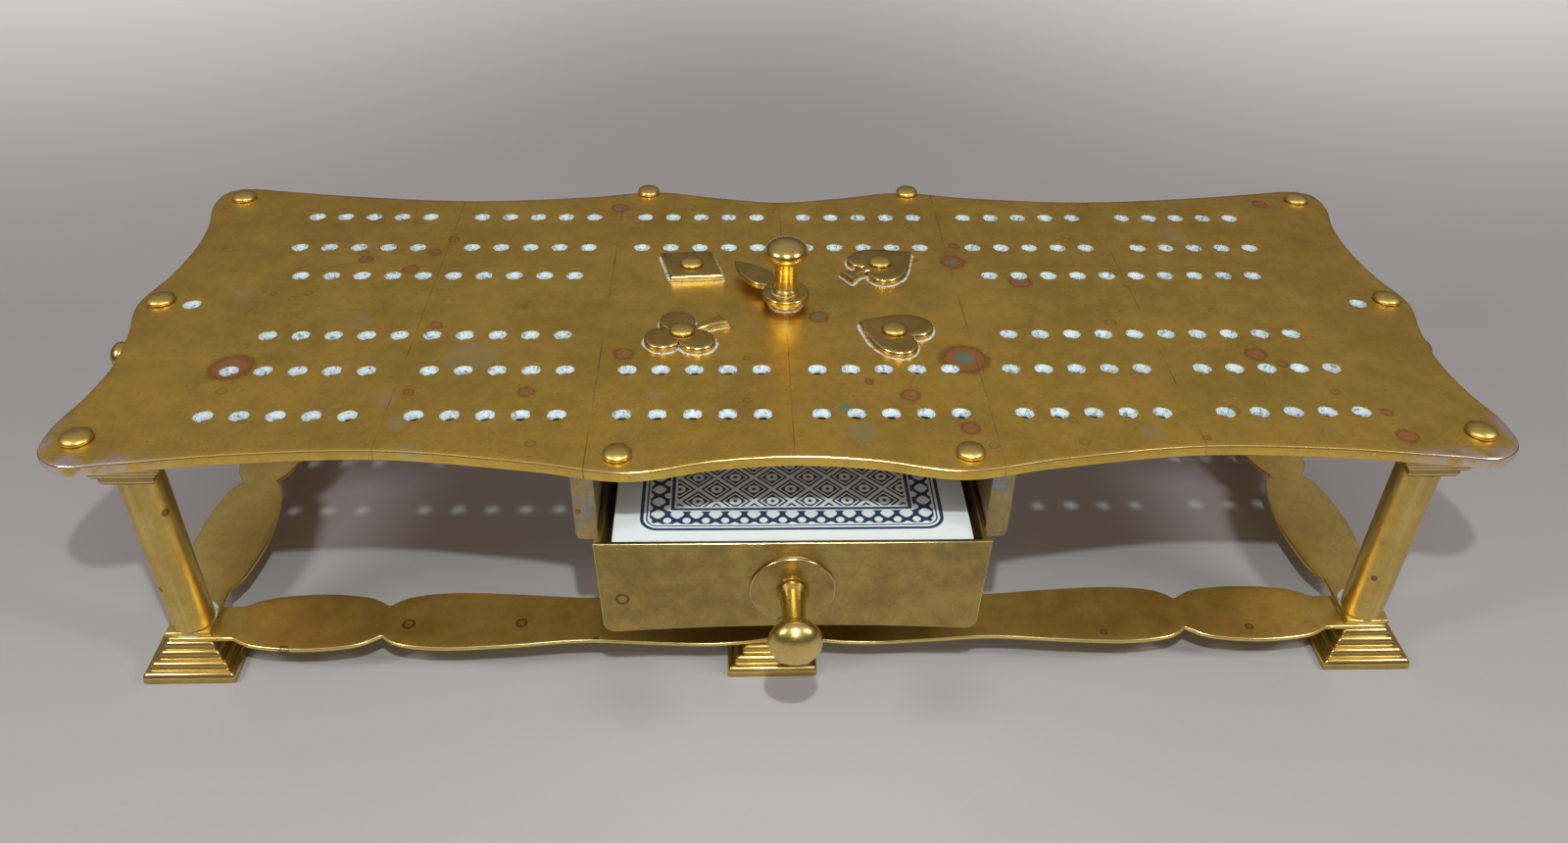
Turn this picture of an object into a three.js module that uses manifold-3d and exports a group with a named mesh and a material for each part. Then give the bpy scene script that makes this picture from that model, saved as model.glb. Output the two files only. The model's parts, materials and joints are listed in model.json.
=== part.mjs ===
// Antique brass cribbage board on four columns, with two card drawers, two peg drawers
// and a turning trump indicator.  Millimetres, +Z up, +X along the board, -Y is the front.
import * as THREE from 'three';
import { mergeVertices } from 'three/addons/utils/BufferGeometryUtils.js';
import Module from 'manifold-3d';

const wasm = await Module();
wasm.setup();

// ---------------------------------------------------------------- driving dimensions
const GAP = 0.1;                 // between faces that touch on the real board
const SHEET = 1.2;               // sheet brass of runners, drawer faces and stretchers

const PLATE_TOP = 76;            // playing surface above the table
const PLATE_THICK = 3;
const PLATE_UNDER = PLATE_TOP - PLATE_THICK;

const HOLE_RADIUS = 2.4;
const HOLE_SIDES = 8;
const HOLE_PITCH = 8.6;
const GROUP_PITCH = 50.2;        // from one group of five to the next
const FIRST_HOLE_X = 7.2;
const OUTER_ROWS_Y = [51.6, 32.3];
const INNER_ROW_Y = 15.7;
const INNER_ROW_X = 59.8;
const FINISH_HOLE_X = 162.3;

const LEG_X = 159;
const LEG_Y = 58.2;
const COLUMN_RADIUS = 5.5;
const BORE_RADIUS = 3.7;
const SPIGOT_RADIUS = 3.3;
const SPIGOT_LENGTH = 12;
const BLOCK_TIERS = [            // half width and height of each step of a foot
  [12.1, 3.2],
  [10.0, 2.1],
  [7.9, 2.1],
  [6.5, 2.1],
];
const CAPITAL_TIERS = [          // the same for a capital, from the plate down
  [11.6, 1.7],
  [10.0, 2.3],
  [8.0, 2.5],
  [6.6, 3.0],
];
const BLOCK_HEIGHT = BLOCK_TIERS.reduce((sum, tier) => sum + tier[1], 0);

const RIVET_RADIUS = 4.1;
const RIVET_RISE = 1.7;
const SHANK_RADIUS = 1.3;
const SHANK_HOLE = 1.6;
const CORNER_RIVET = [168, 62.3];
const DRAWER_RIVET = { x: 41.5, front: -69.4, back: 66.5 };
const END_RIVET_X = 171.2;

const SUITS = { diamond: [-26.4, 17.3], club: [-28, -18.6], spade: [28.2, 17.8], heart: [28.6, -18.4] };
const MIDDLE_FOOT_X = { front: -4.3, back: 0 }; // the front one is fitted a little off centre
const SUIT_THICK = 1.8;
const SUIT_RIVET_RADIUS = 3.6;
const SUIT_RIVET_RISE = 1.3;

const INDICATOR_ANGLE = THREE.MathUtils.degToRad(129);
const BOSS_HEIGHT = 2.1;
const POINTER_THICK = 1.8;

const TRAY_HALF_WIDTH = 47.4;
const TRAY_WALL = 0.9;
const TRAY_FLOOR = 34.2;
const TRAY_TOP = 53.8;
const TRAY_DEPTH = 65.9;
const FACE_BOTTOM = 24.4;
const FRONT_OPEN = 5.3;          // how far the front drawer stands open at rest
const RUNNER_END_Y = 69.6;
const FACE_BACK_Y = 70;          // back of a closed drawer's face, from the board's middle
const CARD = [88.9, 63.5, 16];   // length, width and height of the deck
const CARD_KNOB_Z = 39;

const PEG_TRAY = { inner: 118.5, outer: 175.4, halfWidth: 10.9, floor: 52.5, top: 66 };
const PEG_KNOB_Z = 59;

// ---------------------------------------------------------------- materials
const metal = (color, roughness) =>
  new THREE.MeshStandardMaterial({ color, roughness, metalness: 1 });
const plateBrass = metal(0x85682f, 0.38);
const columnBrass = metal(0xa98a35, 0.32);
const castBrass = metal(0x8f6f33, 0.36);
const stripBrass = metal(0x7a5c26, 0.42);
const domeBrass = metal(0xb29442, 0.24);
const sheetBrass = metal(0x8a6a35, 0.4);
const greyBrass = metal(0x8d8577, 0.5);
const cardPaper = new THREE.MeshStandardMaterial({ color: 0xe9ece8, roughness: 0.6, metalness: 0 });

// ---------------------------------------------------------------- solids
function solid(geometry) {
  const bare = geometry.clone();
  bare.deleteAttribute('normal');
  bare.deleteAttribute('uv');
  const merged = mergeVertices(bare, 1e-4);
  const index = merged.index.array;
  const triangles = [];
  for (let i = 0; i < index.length; i += 3) {
    const [a, b, c] = [index[i], index[i + 1], index[i + 2]];
    if (a !== b && b !== c && c !== a) triangles.push(a, b, c);
  }
  return new wasm.Manifold(new wasm.Mesh({
    numProp: 3,
    vertProperties: new Float32Array(merged.attributes.position.array),
    triVerts: new Uint32Array(triangles),
  }));
}

function geometryOf(body) {
  const mesh = body.getMesh();
  const geometry = new THREE.BufferGeometry();
  geometry.setAttribute('position', new THREE.BufferAttribute(mesh.vertProperties, 3));
  geometry.setIndex(new THREE.BufferAttribute(mesh.triVerts, 1));
  geometry.computeVertexNormals();
  return geometry;
}

const joined = (...parts) =>
  geometryOf(parts.map(solid).reduce((whole, part) => whole.add(part)));
const cut = (geometry, ...tools) =>
  geometryOf(tools.map(solid).reduce((whole, tool) => whole.subtract(tool), solid(geometry)));

function box(x0, x1, y0, y1, z0, z1) {
  const geometry = new THREE.BoxGeometry(x1 - x0, y1 - y0, z1 - z0);
  return geometry.translate((x0 + x1) / 2, (y0 + y1) / 2, (z0 + z1) / 2);
}

// A turned piece: profile points are [radius, height], and the axis is +Z.
function turned(profile, sides = 16) {
  const points = profile.map(([radius, height]) => new THREE.Vector2(radius, height));
  return new THREE.LatheGeometry(points, sides).rotateX(Math.PI / 2);
}

const rod = (radius, z0, z1, sides = 12) =>
  turned([[0, z0], [radius, z0], [radius, z1], [0, z1]], sides);

const slab = (shape, thick, curveSegments = 8) =>
  new THREE.ExtrudeGeometry(shape, { depth: thick, bevelEnabled: false, curveSegments });

// Turns a slab drawn in x and height so that it stands up, its thickness towards -Y.
const upright = (geometry) => geometry.rotateX(Math.PI / 2);

// Points of a dome or mushroom head, from its widest place over the top to the axis.
function domeProfile(radius, rise, base, steps = 4) {
  return Array.from({ length: steps + 1 }, (_, i) => {
    const angle = (Math.PI / 2) * (i / steps);
    return [i === steps ? 0 : radius * Math.cos(angle), base + rise * Math.sin(angle)];
  });
}

const board = new THREE.Group();
export default board;

function piece(parent, name, geometry, material, x = 0, y = 0, z = 0) {
  const mesh = new THREE.Mesh(geometry, material);
  mesh.name = name;
  mesh.position.set(x, y, z);
  parent.add(mesh);
  return mesh;
}

// ---------------------------------------------------------------- outlines
// Mirrors a quarter outline, which runs from the +Y axis round to the +X axis.
function mirrored(quarter) {
  const right = [...quarter, ...quarter.slice(0, -1).reverse().map(([x, y]) => [x, -y])];
  const left = right.slice(1, -1).reverse().map(([x, y]) => [-x, y]);
  return [...right, ...left];
}

// Right-hand side of the plate, from the middle of its back edge to the middle of its front.
const PLATE_HALF = [
  [0, 61.9], [18, 64.6], [39, 69], [60, 65.4], [95, 62.5], [130, 65.1], [158, 69.2],
  [168, 70.6], [174.4, 68], [176, 59.5], [173, 45], [172.2, 31], [173.8, 15], [177, 0],
  [173.8, -15], [172, -30], [173.1, -43], [176, -57], [174.6, -66.4], [168, -70.8],
  [157, -69.9], [130, -66.7], [97, -65.6], [62, -70.2], [39, -74.3], [18, -70.1], [0, -68.6],
];

function plateShape() {
  const left = PLATE_HALF.slice(1, -1).reverse().map(([x, y]) => [-x, y]);
  const points = [...PLATE_HALF, ...left].map(([x, y]) => new THREE.Vector3(x, y, 0));
  const curve = new THREE.CatmullRomCurve3(points, true, 'centripetal');
  return new THREE.Shape(curve.getPoints(points.length * 2).slice(0, -1));
}

function roundHole(x, y, radius, sides = HOLE_SIDES) {
  const turn = (2 * Math.PI) / sides;
  return new THREE.Path(Array.from({ length: sides }, (_, i) =>
    new THREE.Vector2(x + radius * Math.cos(i * turn), y + radius * Math.sin(i * turn))));
}

// Scalloped strip along X: each lobe is a smooth run of [distance, half width], and
// neighbouring lobes meet in a notch.
function scallopedShape(lobes) {
  const quarter = lobes.flatMap((lobe, i) => {
    const spline = new THREE.SplineCurve(lobe.map((point) => new THREE.Vector2(...point)));
    const steps = lobe.length > 2 ? lobe.length + 1 : 1;
    return spline.getPoints(steps).slice(i ? 1 : 0).map(({ x, y }) => [x, y]);
  });
  const [endX] = quarter.at(-1);
  return new THREE.Shape(mirrored([...quarter, [endX, 0]]).map((p) => new THREE.Vector2(...p)));
}

// ---------------------------------------------------------------- playing plate
function pegHoles() {
  const holes = [];
  for (const side of [-1, 1]) {
    holes.push([side * FINISH_HOLE_X, 0]);
    for (const half of [-1, 1]) {
      for (const row of OUTER_ROWS_Y) {
        for (let i = 0; i < 15; i++) {
          const group = Math.floor(i / 5);
          const x = FIRST_HOLE_X + group * GROUP_PITCH + (i % 5) * HOLE_PITCH;
          holes.push([side * x, half * row]);
        }
      }
      for (let i = 0; i < 10; i++) {
        holes.push([side * (INNER_ROW_X + i * HOLE_PITCH), half * INNER_ROW_Y]);
      }
    }
  }
  return holes;
}

function buildPlate() {
  const shape = plateShape();
  for (const [x, y] of pegHoles()) shape.holes.push(roundHole(x, y, HOLE_RADIUS));
  const { x: drawerX, front, back } = DRAWER_RIVET;
  const [cornerX, cornerY] = CORNER_RIVET;
  for (const side of [-1, 1]) {
    const shanks = [[END_RIVET_X, 0], [drawerX, front], [drawerX, back], [cornerX, cornerY],
      [cornerX, -cornerY]];
    for (const [x, y] of shanks) shape.holes.push(roundHole(side * x, y, SHANK_HOLE));
  }
  for (const [x, y] of Object.values(SUITS)) shape.holes.push(roundHole(x, y, SHANK_HOLE));
  shape.holes.push(roundHole(0, 0, SHANK_HOLE + 0.3));
  piece(board, 'top_plate', slab(shape, PLATE_THICK), plateBrass, 0, 0, PLATE_UNDER);
}

// ---------------------------------------------------------------- rivets
function rivet(radius, rise, length) {
  const profile = [[0, -length], [SHANK_RADIUS, -length], [SHANK_RADIUS, GAP], [radius, GAP]];
  return turned([...profile, ...domeProfile(radius, rise, GAP + 0.3, 3)], 10);
}

function buildRivets() {
  for (const [endName, side] of [['left', -1], ['right', 1]]) {
    const throughChannel = rivet(RIVET_RADIUS, RIVET_RISE, PLATE_THICK + SHEET + 0.6);
    piece(board, `end_rivet_${endName}`, throughChannel, domeBrass, side * END_RIVET_X, 0, PLATE_TOP);
    for (const [halfName, half] of [['front', -1], ['back', 1]]) {
      const [cornerX, cornerY] = CORNER_RIVET;
      const intoCapital = rivet(RIVET_RADIUS, RIVET_RISE, PLATE_THICK + 1.1);
      piece(board, `corner_rivet_${halfName}_${endName}`, intoCapital, domeBrass,
        side * cornerX, half * cornerY, PLATE_TOP);
      const throughRunner = rivet(RIVET_RADIUS - 0.4, RIVET_RISE, PLATE_THICK + SHEET + 0.8);
      piece(board, `drawer_rivet_${halfName}_${endName}`, throughRunner, domeBrass,
        side * DRAWER_RIVET.x, DRAWER_RIVET[halfName], PLATE_TOP);
    }
  }
}

// ---------------------------------------------------------------- feet, columns, capitals
// Square stepped block, widest at z = 0, with a small bevel on each step.
function steppedBlock(tiers) {
  const bevel = 0.5;
  const profile = [[0, 0]];
  let z = 0;
  for (const [half, height] of tiers) {
    profile.push([half, z], [half, z + height - bevel], [half - bevel, z + height]);
    z += height;
  }
  profile.push([0, z]);
  const corner = profile.map(([half, height]) => new THREE.Vector2(half * Math.SQRT2, height));
  return new THREE.LatheGeometry(corner, 4, Math.PI / 4).rotateX(Math.PI / 2);
}

function spigotBlock(tiers) {
  const spigot = rod(SPIGOT_RADIUS, BLOCK_HEIGHT - 1, BLOCK_HEIGHT + SPIGOT_LENGTH);
  return joined(steppedBlock(tiers), spigot);
}

function buildLegs() {
  const columnBottom = BLOCK_HEIGHT + 2 * (SHEET + GAP) + GAP;
  const columnTop = PLATE_UNDER - BLOCK_HEIGHT - 2 * GAP;
  const column = turned([
    [BORE_RADIUS, columnBottom], [COLUMN_RADIUS, columnBottom],
    [COLUMN_RADIUS, columnTop], [BORE_RADIUS, columnTop], [BORE_RADIUS, columnBottom],
  ], 16);
  for (const [endName, side] of [['left', -1], ['right', 1]]) {
    for (const [halfName, half] of [['front', -1], ['back', 1]]) {
      const corner = `${halfName}_${endName}`;
      const [x, y] = [side * LEG_X, half * LEG_Y];
      piece(board, `foot_${corner}`, spigotBlock(BLOCK_TIERS), castBrass, x, y, 0);
      piece(board, `column_${corner}`, column.clone(), columnBrass, x, y, 0);
      const rivetHole = rod(SHANK_HOLE, -1, 1.3, 8);
      rivetHole.translate(side * CORNER_RIVET[0] - x, -(half * CORNER_RIVET[1] - y), 0);
      const capital = cut(spigotBlock(CAPITAL_TIERS), rivetHole).rotateX(Math.PI);
      piece(board, `capital_${corner}`, capital, castBrass, x, y, PLATE_UNDER - GAP);
    }
  }
}

// ---------------------------------------------------------------- stretchers
const LONG_LOBES = [
  [[0, 5.4], [6, 8.2], [20, 9.8], [38, 9], [55, 8.1], [74, 9.6], [91, 10.4], [103, 8.9], [108.5, 5.6]],
  [[108.5, 5.6], [115, 9], [128, 10.3], [141, 9], [147.5, 6]],
  [[147.5, 6], [164, 6]],
];
const SHORT_LOBES = [
  [[0, 5], [6, 8.4], [23, 10.6], [40, 8.8], [47, 6]],
  [[47, 6], [63.5, 6]],
];

function stretcher(lobes, reach) {
  const shape = scallopedShape(lobes);
  for (const side of [-1, 1]) shape.holes.push(roundHole(side * reach, 0, BORE_RADIUS, 12));
  return slab(shape, SHEET);
}

function buildStretchers() {
  const lower = BLOCK_HEIGHT + GAP;
  const upper = lower + SHEET + GAP;
  for (const [name, side] of [['front', -1], ['back', 1]]) {
    const strip = stretcher(LONG_LOBES, LEG_X);
    const x = MIDDLE_FOOT_X[name];
    const pinHole = rod(SHANK_HOLE, -1, SHEET + 1, 8).translate(x, 0, 0);
    piece(board, `stretcher_${name}`, cut(strip, pinHole), stripBrass, 0, side * LEG_Y, lower);
    const pin = rod(SHANK_RADIUS, BLOCK_HEIGHT - 1, BLOCK_HEIGHT + SHEET + 0.6, 8);
    const middleFoot = joined(steppedBlock(BLOCK_TIERS), pin);
    piece(board, `middle_foot_${name}`, middleFoot, castBrass, x, side * LEG_Y, 0);
  }
  for (const [name, side] of [['left', -1], ['right', 1]]) {
    const strip = stretcher(SHORT_LOBES, LEG_Y).rotateZ(Math.PI / 2);
    piece(board, `stretcher_${name}`, strip, stripBrass, side * LEG_X, 0, upper);
  }
}

// ---------------------------------------------------------------- suits
// Each suit is drawn with its stem or point towards -Y, about its rivet.
function diamondShape() {
  const [long, wide] = [11.4, 9.6];
  return new THREE.Shape([[0, -long], [wide, 0], [0, long], [-wide, 0]]
    .map((point) => new THREE.Vector2(...point)));
}

function heartShape() {
  const shape = new THREE.Shape();
  shape.moveTo(0, -10.3);
  shape.bezierCurveTo(4.6, -6.7, 10, -1.9, 10, 3.4);
  shape.bezierCurveTo(10, 9.5, 3, 11, 0, 5.3);
  shape.bezierCurveTo(-3, 11, -10, 9.5, -10, 3.4);
  shape.bezierCurveTo(-10, -1.9, -4.6, -6.7, 0, -10.3);
  return shape;
}

function spadeShape() {
  const shape = new THREE.Shape();
  shape.moveTo(-3, -12.6);
  shape.lineTo(3, -12.6);
  shape.quadraticCurveTo(0.8, -9.5, 1.3, -5.2);
  shape.bezierCurveTo(3, -8.2, 9.6, -8.4, 9.6, -1.6);
  shape.bezierCurveTo(9.6, 3.8, 3.8, 7.8, 0, 12.2);
  shape.bezierCurveTo(-3.8, 7.8, -9.6, 3.8, -9.6, -1.6);
  shape.bezierCurveTo(-9.6, -8.4, -3, -8.2, -1.3, -5.2);
  shape.quadraticCurveTo(-0.8, -9.5, -3, -12.6);
  return shape;
}

function clubShape() {
  const lobe = 4.9;
  const shape = new THREE.Shape();
  shape.moveTo(-2.6, -12.8);
  shape.lineTo(2.6, -12.8);
  shape.quadraticCurveTo(0.9, -9, 1.2, -4.4);
  shape.absarc(5.4, -1.5, lobe, Math.PI * 1.18, Math.PI * 0.66, false);
  shape.absarc(0, 6, lobe, Math.PI * 1.84, Math.PI * 1.16, false);
  shape.absarc(-5.4, -1.5, lobe, Math.PI * 0.34, Math.PI * 1.82, false);
  shape.quadraticCurveTo(-0.9, -9, -2.6, -12.8);
  return shape;
}

function buildSuits() {
  const outlines = {
    diamond: diamondShape, club: clubShape, spade: spadeShape, heart: heartShape,
  };
  for (const [name, outline] of Object.entries(outlines)) {
    const [x, y] = SUITS[name];
    const blank = cut(slab(outline(), SUIT_THICK, 5), rod(SHANK_HOLE, -1, SUIT_THICK + 1, 8));
    const suit = piece(board, `suit_${name}`, blank, castBrass, x, y, PLATE_TOP + GAP);
    suit.rotation.z = Math.atan2(y, x) - Math.PI / 2;
    const head = rivet(SUIT_RIVET_RADIUS, SUIT_RIVET_RISE, SUIT_THICK + PLATE_THICK + 0.6);
    piece(board, `suit_rivet_${name}`, head, domeBrass, x, y, PLATE_TOP + GAP + SUIT_THICK);
  }
}

// ---------------------------------------------------------------- trump indicator
function pointerShape() {
  const shape = new THREE.Shape();
  const hub = 6.5;
  shape.absarc(0, 0, hub, 0.3, 2 * Math.PI - 0.3, false);
  shape.bezierCurveTo(9, -5.4, 16, -4.2, 22.4, 0);
  shape.bezierCurveTo(16, 4.2, 9, 5.4, hub * Math.cos(0.3), hub * Math.sin(0.3));
  return shape;
}

function mushroom(neckRadius, headRadius, halfThick, neckLength, tail) {
  const under = domeProfile(headRadius, -halfThick, neckLength + halfThick)
    .reverse().filter(([radius]) => radius > neckRadius);
  const over = domeProfile(headRadius, halfThick, neckLength + halfThick).slice(1);
  const [tailRadius, tailLength] = tail;
  return turned([
    [0, -tailLength], [tailRadius, -tailLength], [tailRadius, 0], [neckRadius * 1.25, 0],
    [neckRadius, neckLength * 0.25], [neckRadius, neckLength * 0.9], ...under, ...over,
  ], 12);
}

function buildIndicator() {
  const bossBase = PLATE_TOP + GAP;
  const pointerBase = bossBase + BOSS_HEIGHT + GAP;
  const knobBase = pointerBase + POINTER_THICK + GAP;
  const boss = cut(rod(4.4, 0, BOSS_HEIGHT, 20), rod(SHANK_HOLE + 0.3, -1, BOSS_HEIGHT + 1, 8));
  piece(board, 'indicator_boss', boss, castBrass, 0, 0, bossBase);
  const leaf = cut(slab(pointerShape(), POINTER_THICK, 6), rod(1.9, -1, POINTER_THICK + 1, 8));
  const pointer = piece(board, 'indicator_pointer', leaf, castBrass, 0, 0, pointerBase);
  pointer.rotation.z = INDICATOR_ANGLE;
  const spindle = knobBase - PLATE_UNDER + 2.6;
  const knob = mushroom(3, 6, 3.55, 8.6, [1.5, spindle]);
  piece(board, 'indicator_knob', knob, domeBrass, 0, 0, knobBase);
  const nut = cut(rod(3.6, -2, 0, 6), rod(1.8, -3, 1, 8));
  piece(board, 'indicator_nut', nut, sheetBrass, 0, 0, PLATE_UNDER - GAP);
}

// ---------------------------------------------------------------- card drawers
function faceShape() {
  const [half, topHalf, radius, arch] = [TRAY_HALF_WIDTH, TRAY_HALF_WIDTH + 0.9, 3, 1.7];
  const shape = new THREE.Shape();
  shape.moveTo(-topHalf, TRAY_TOP + 0.4);
  shape.lineTo(-half, FACE_BOTTOM + radius);
  shape.absarc(-half + radius, FACE_BOTTOM + radius, radius, Math.PI, 1.5 * Math.PI, false);
  shape.quadraticCurveTo(0, FACE_BOTTOM + 2 * arch, half - radius, FACE_BOTTOM);
  shape.absarc(half - radius, FACE_BOTTOM + radius, radius, 1.5 * Math.PI, 2 * Math.PI, false);
  shape.lineTo(topHalf, TRAY_TOP + 0.4);
  return shape;
}

// Built as the front drawer, closed; the back one is the same drawer turned about Z.
function buildCardDrawer(name, travel, turn) {
  const drawer = new THREE.Group();
  board.add(drawer);
  drawer.rotation.z = turn;
  drawer.position.y = -travel;
  const faceBack = -FACE_BACK_Y;
  const faceFront = faceBack - SHEET;
  const trayFront = faceBack + GAP;
  const [half, wall] = [TRAY_HALF_WIDTH, TRAY_WALL];
  const tray = cut(
    box(-half, half, trayFront, trayFront + TRAY_DEPTH, TRAY_FLOOR, TRAY_TOP),
    box(-half + wall, half - wall, trayFront - 1, trayFront + TRAY_DEPTH - wall,
      TRAY_FLOOR + wall, TRAY_TOP + 1),
  );
  piece(drawer, `${name}_tray`, tray, sheetBrass);
  const knobHole = (radius) => rod(radius, -1, 3, 8).rotateX(Math.PI / 2);
  const face = cut(upright(slab(faceShape(), SHEET)), knobHole(2).translate(0, 0, CARD_KNOB_Z));
  piece(drawer, `${name}_drawer_face`, face, sheetBrass, 0, faceBack, 0);
  const disc = cut(rod(10.7, 0, 0.8, 28), rod(2, -1, 2, 8)).rotateX(Math.PI / 2);
  piece(drawer, `${name}_knob_plate`, disc, sheetBrass, 0, faceFront - GAP, CARD_KNOB_Z);
  const knob = mushroom(3.1, 6.6, 4.5, 12.2, [1.6, SHEET + 0.6]).rotateX(Math.PI / 2);
  piece(drawer, `${name}_drawer_knob`, knob, domeBrass, 0, faceFront - 0.8 - 2 * GAP, CARD_KNOB_Z);
  return drawer;
}

function buildDeck(drawer) {
  const [length, width, height] = CARD;
  const [x, y, radius] = [length / 2, width / 2, 3.2];
  const shape = new THREE.Shape();
  shape.absarc(x - radius, y - radius, radius, 0, 0.5 * Math.PI, false);
  shape.absarc(radius - x, y - radius, radius, 0.5 * Math.PI, Math.PI, false);
  shape.absarc(radius - x, radius - y, radius, Math.PI, 1.5 * Math.PI, false);
  shape.absarc(x - radius, radius - y, radius, 1.5 * Math.PI, 2 * Math.PI, false);
  const deckY = -FACE_BACK_Y + 0.9 + width / 2;
  piece(drawer, 'card_deck', slab(shape, height, 4), cardPaper,
    0.2, deckY, TRAY_FLOOR + TRAY_WALL + GAP);
}

// One bent sheet: a flange under the plate, a web beside the tray, a lip under it and an
// ear at each end.  The rivets that hold it stand at frontY and backY.
function runner(frontY, backY) {
  const [inner, outer] = [TRAY_HALF_WIDTH + 0.3, TRAY_HALF_WIDTH + 0.3 + SHEET];
  const top = PLATE_UNDER - GAP;
  const [lipBottom, corner, end] = [TRAY_FLOOR - 0.3 - SHEET, 8, RUNNER_END_Y];
  const side = new THREE.Shape();
  side.moveTo(-end, top);
  side.lineTo(-end, lipBottom + corner);
  side.quadraticCurveTo(-end, lipBottom, corner - end, lipBottom);
  side.lineTo(end - corner, lipBottom);
  side.quadraticCurveTo(end, lipBottom, end, lipBottom + corner);
  side.lineTo(end, top);
  const web = upright(slab(side, SHEET)).rotateZ(Math.PI / 2).translate(inner, 0, 0);
  const flange = box(34.5, outer, frontY - 1.8, backY + 3, top - SHEET, top);
  const lip = box(40, outer, corner - end, end - corner, lipBottom, lipBottom + SHEET);
  const [earX, earBottom, round] = [outer + 4.2, 49.9, 2];
  const earShape = new THREE.Shape();
  earShape.moveTo(outer - 0.5, top);
  earShape.lineTo(outer - 0.5, earBottom);
  earShape.lineTo(earX - round, earBottom);
  earShape.quadraticCurveTo(earX, earBottom, earX, earBottom + round);
  earShape.lineTo(earX, top);
  const ears = [-end + SHEET, end].map((y) => upright(slab(earShape, SHEET)).translate(0, y, 0));
  const holes = [frontY, backY].map((y) =>
    rod(SHANK_HOLE, top - 3, top + 1, 8).translate(DRAWER_RIVET.x, y, 0));
  return cut(joined(web, flange, lip, ...ears), ...holes);
}

function buildRunners() {
  const { front, back } = DRAWER_RIVET;
  piece(board, 'drawer_runner_right', runner(front, back), greyBrass);
  const left = piece(board, 'drawer_runner_left', runner(-back, -front), greyBrass);
  left.rotation.z = Math.PI;
}

// ---------------------------------------------------------------- peg drawers
function channelShape() {
  const { halfWidth, floor } = PEG_TRAY;
  const [inner, top] = [halfWidth + 0.3, PLATE_UNDER - GAP];
  const [outer, lip, bottom] = [inner + 1, 7, floor - 0.3 - 1];
  const half = [
    [0, top], [outer, top], [outer, bottom], [lip, bottom],
    [lip, bottom + 1], [inner, bottom + 1], [inner, top - 1], [0, top - 1],
  ];
  const other = half.slice(1, -1).reverse().map(([y, z]) => [-y, z]);
  return new THREE.Shape([...half, ...other].map((point) => new THREE.Vector2(...point)));
}

function peg() {
  return turned([
    [0, 0], [0.9, 0.4], [1.8, 12], [1.8, 19], [1.2, 20], [1.2, 21.5], [2.1, 23], [2.1, 25.5],
    [1.2, 27.5], [0, 28],
  ], 10);
}

// Built as the right-hand drawer; the left one is the same drawer turned about Z.
function buildPegDrawer(name, turn) {
  const { inner, outer, halfWidth, floor, top } = PEG_TRAY;
  const wall = TRAY_WALL;
  const drawer = new THREE.Group();
  board.add(drawer);
  drawer.rotation.z = turn;
  const length = outer - 0.9 - inner;
  const channel = upright(slab(channelShape(), length)).rotateZ(Math.PI / 2);
  const holes = [rod(SHANK_HOLE, 60, 75, 8).translate(END_RIVET_X, 0, 0),
    rod(HOLE_RADIUS, 60, 75, 8).translate(FINISH_HOLE_X, 0, 0)];
  piece(drawer, `peg_channel_${name}`, cut(channel.translate(inner, 0, 0), ...holes), sheetBrass);
  const shell = joined(
    box(inner, outer + SHEET, -halfWidth, halfWidth, floor, top),
    box(outer, outer + SHEET, -13.4, 13.4, floor - 3.4, top + 3.4),
  );
  const hollow = box(inner + wall, outer, wall - halfWidth, halfWidth - wall, floor + wall, top + 1);
  const tailHole = rod(1.4, -3, 3, 8).rotateY(Math.PI / 2).translate(outer, 0, PEG_KNOB_Z);
  piece(drawer, `peg_tray_${name}`, cut(shell, hollow, tailHole), sheetBrass);
  const knob = mushroom(1.9, 4.2, 3.1, 5.8, [1.1, SHEET + 0.5]).rotateY(Math.PI / 2);
  piece(drawer, `peg_knob_${name}`, knob, domeBrass, outer + SHEET + GAP, 0, PEG_KNOB_Z);
  const lying = peg().rotateY(Math.PI / 2);
  piece(drawer, `peg_${name}`, lying, domeBrass, inner + 9, wall + 2.4 - halfWidth, floor + wall + 2.2);
}

// ---------------------------------------------------------------- assembly
buildPlate();
buildRivets();
buildLegs();
buildStretchers();
buildSuits();
buildIndicator();
buildRunners();
buildDeck(buildCardDrawer('front', FRONT_OPEN, 0));
buildCardDrawer('back', 0, Math.PI);
buildPegDrawer('right', 0);
buildPegDrawer('left', Math.PI);

// The origin is under the middle of the whole board, its open front drawer included.
board.position.y = FRONT_OPEN / 2;
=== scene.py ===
"""The looks of an antique brass cribbage board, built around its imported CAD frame.

Outlines and profiles are in millimetres, in each piece's own frame, and become metres when a mesh is made.
"""

import json
import math
import random

import bpy
import numpy as np
from mathutils import Matrix, Vector
from mathutils.geometry import delaunay_2d_cdt


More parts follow.
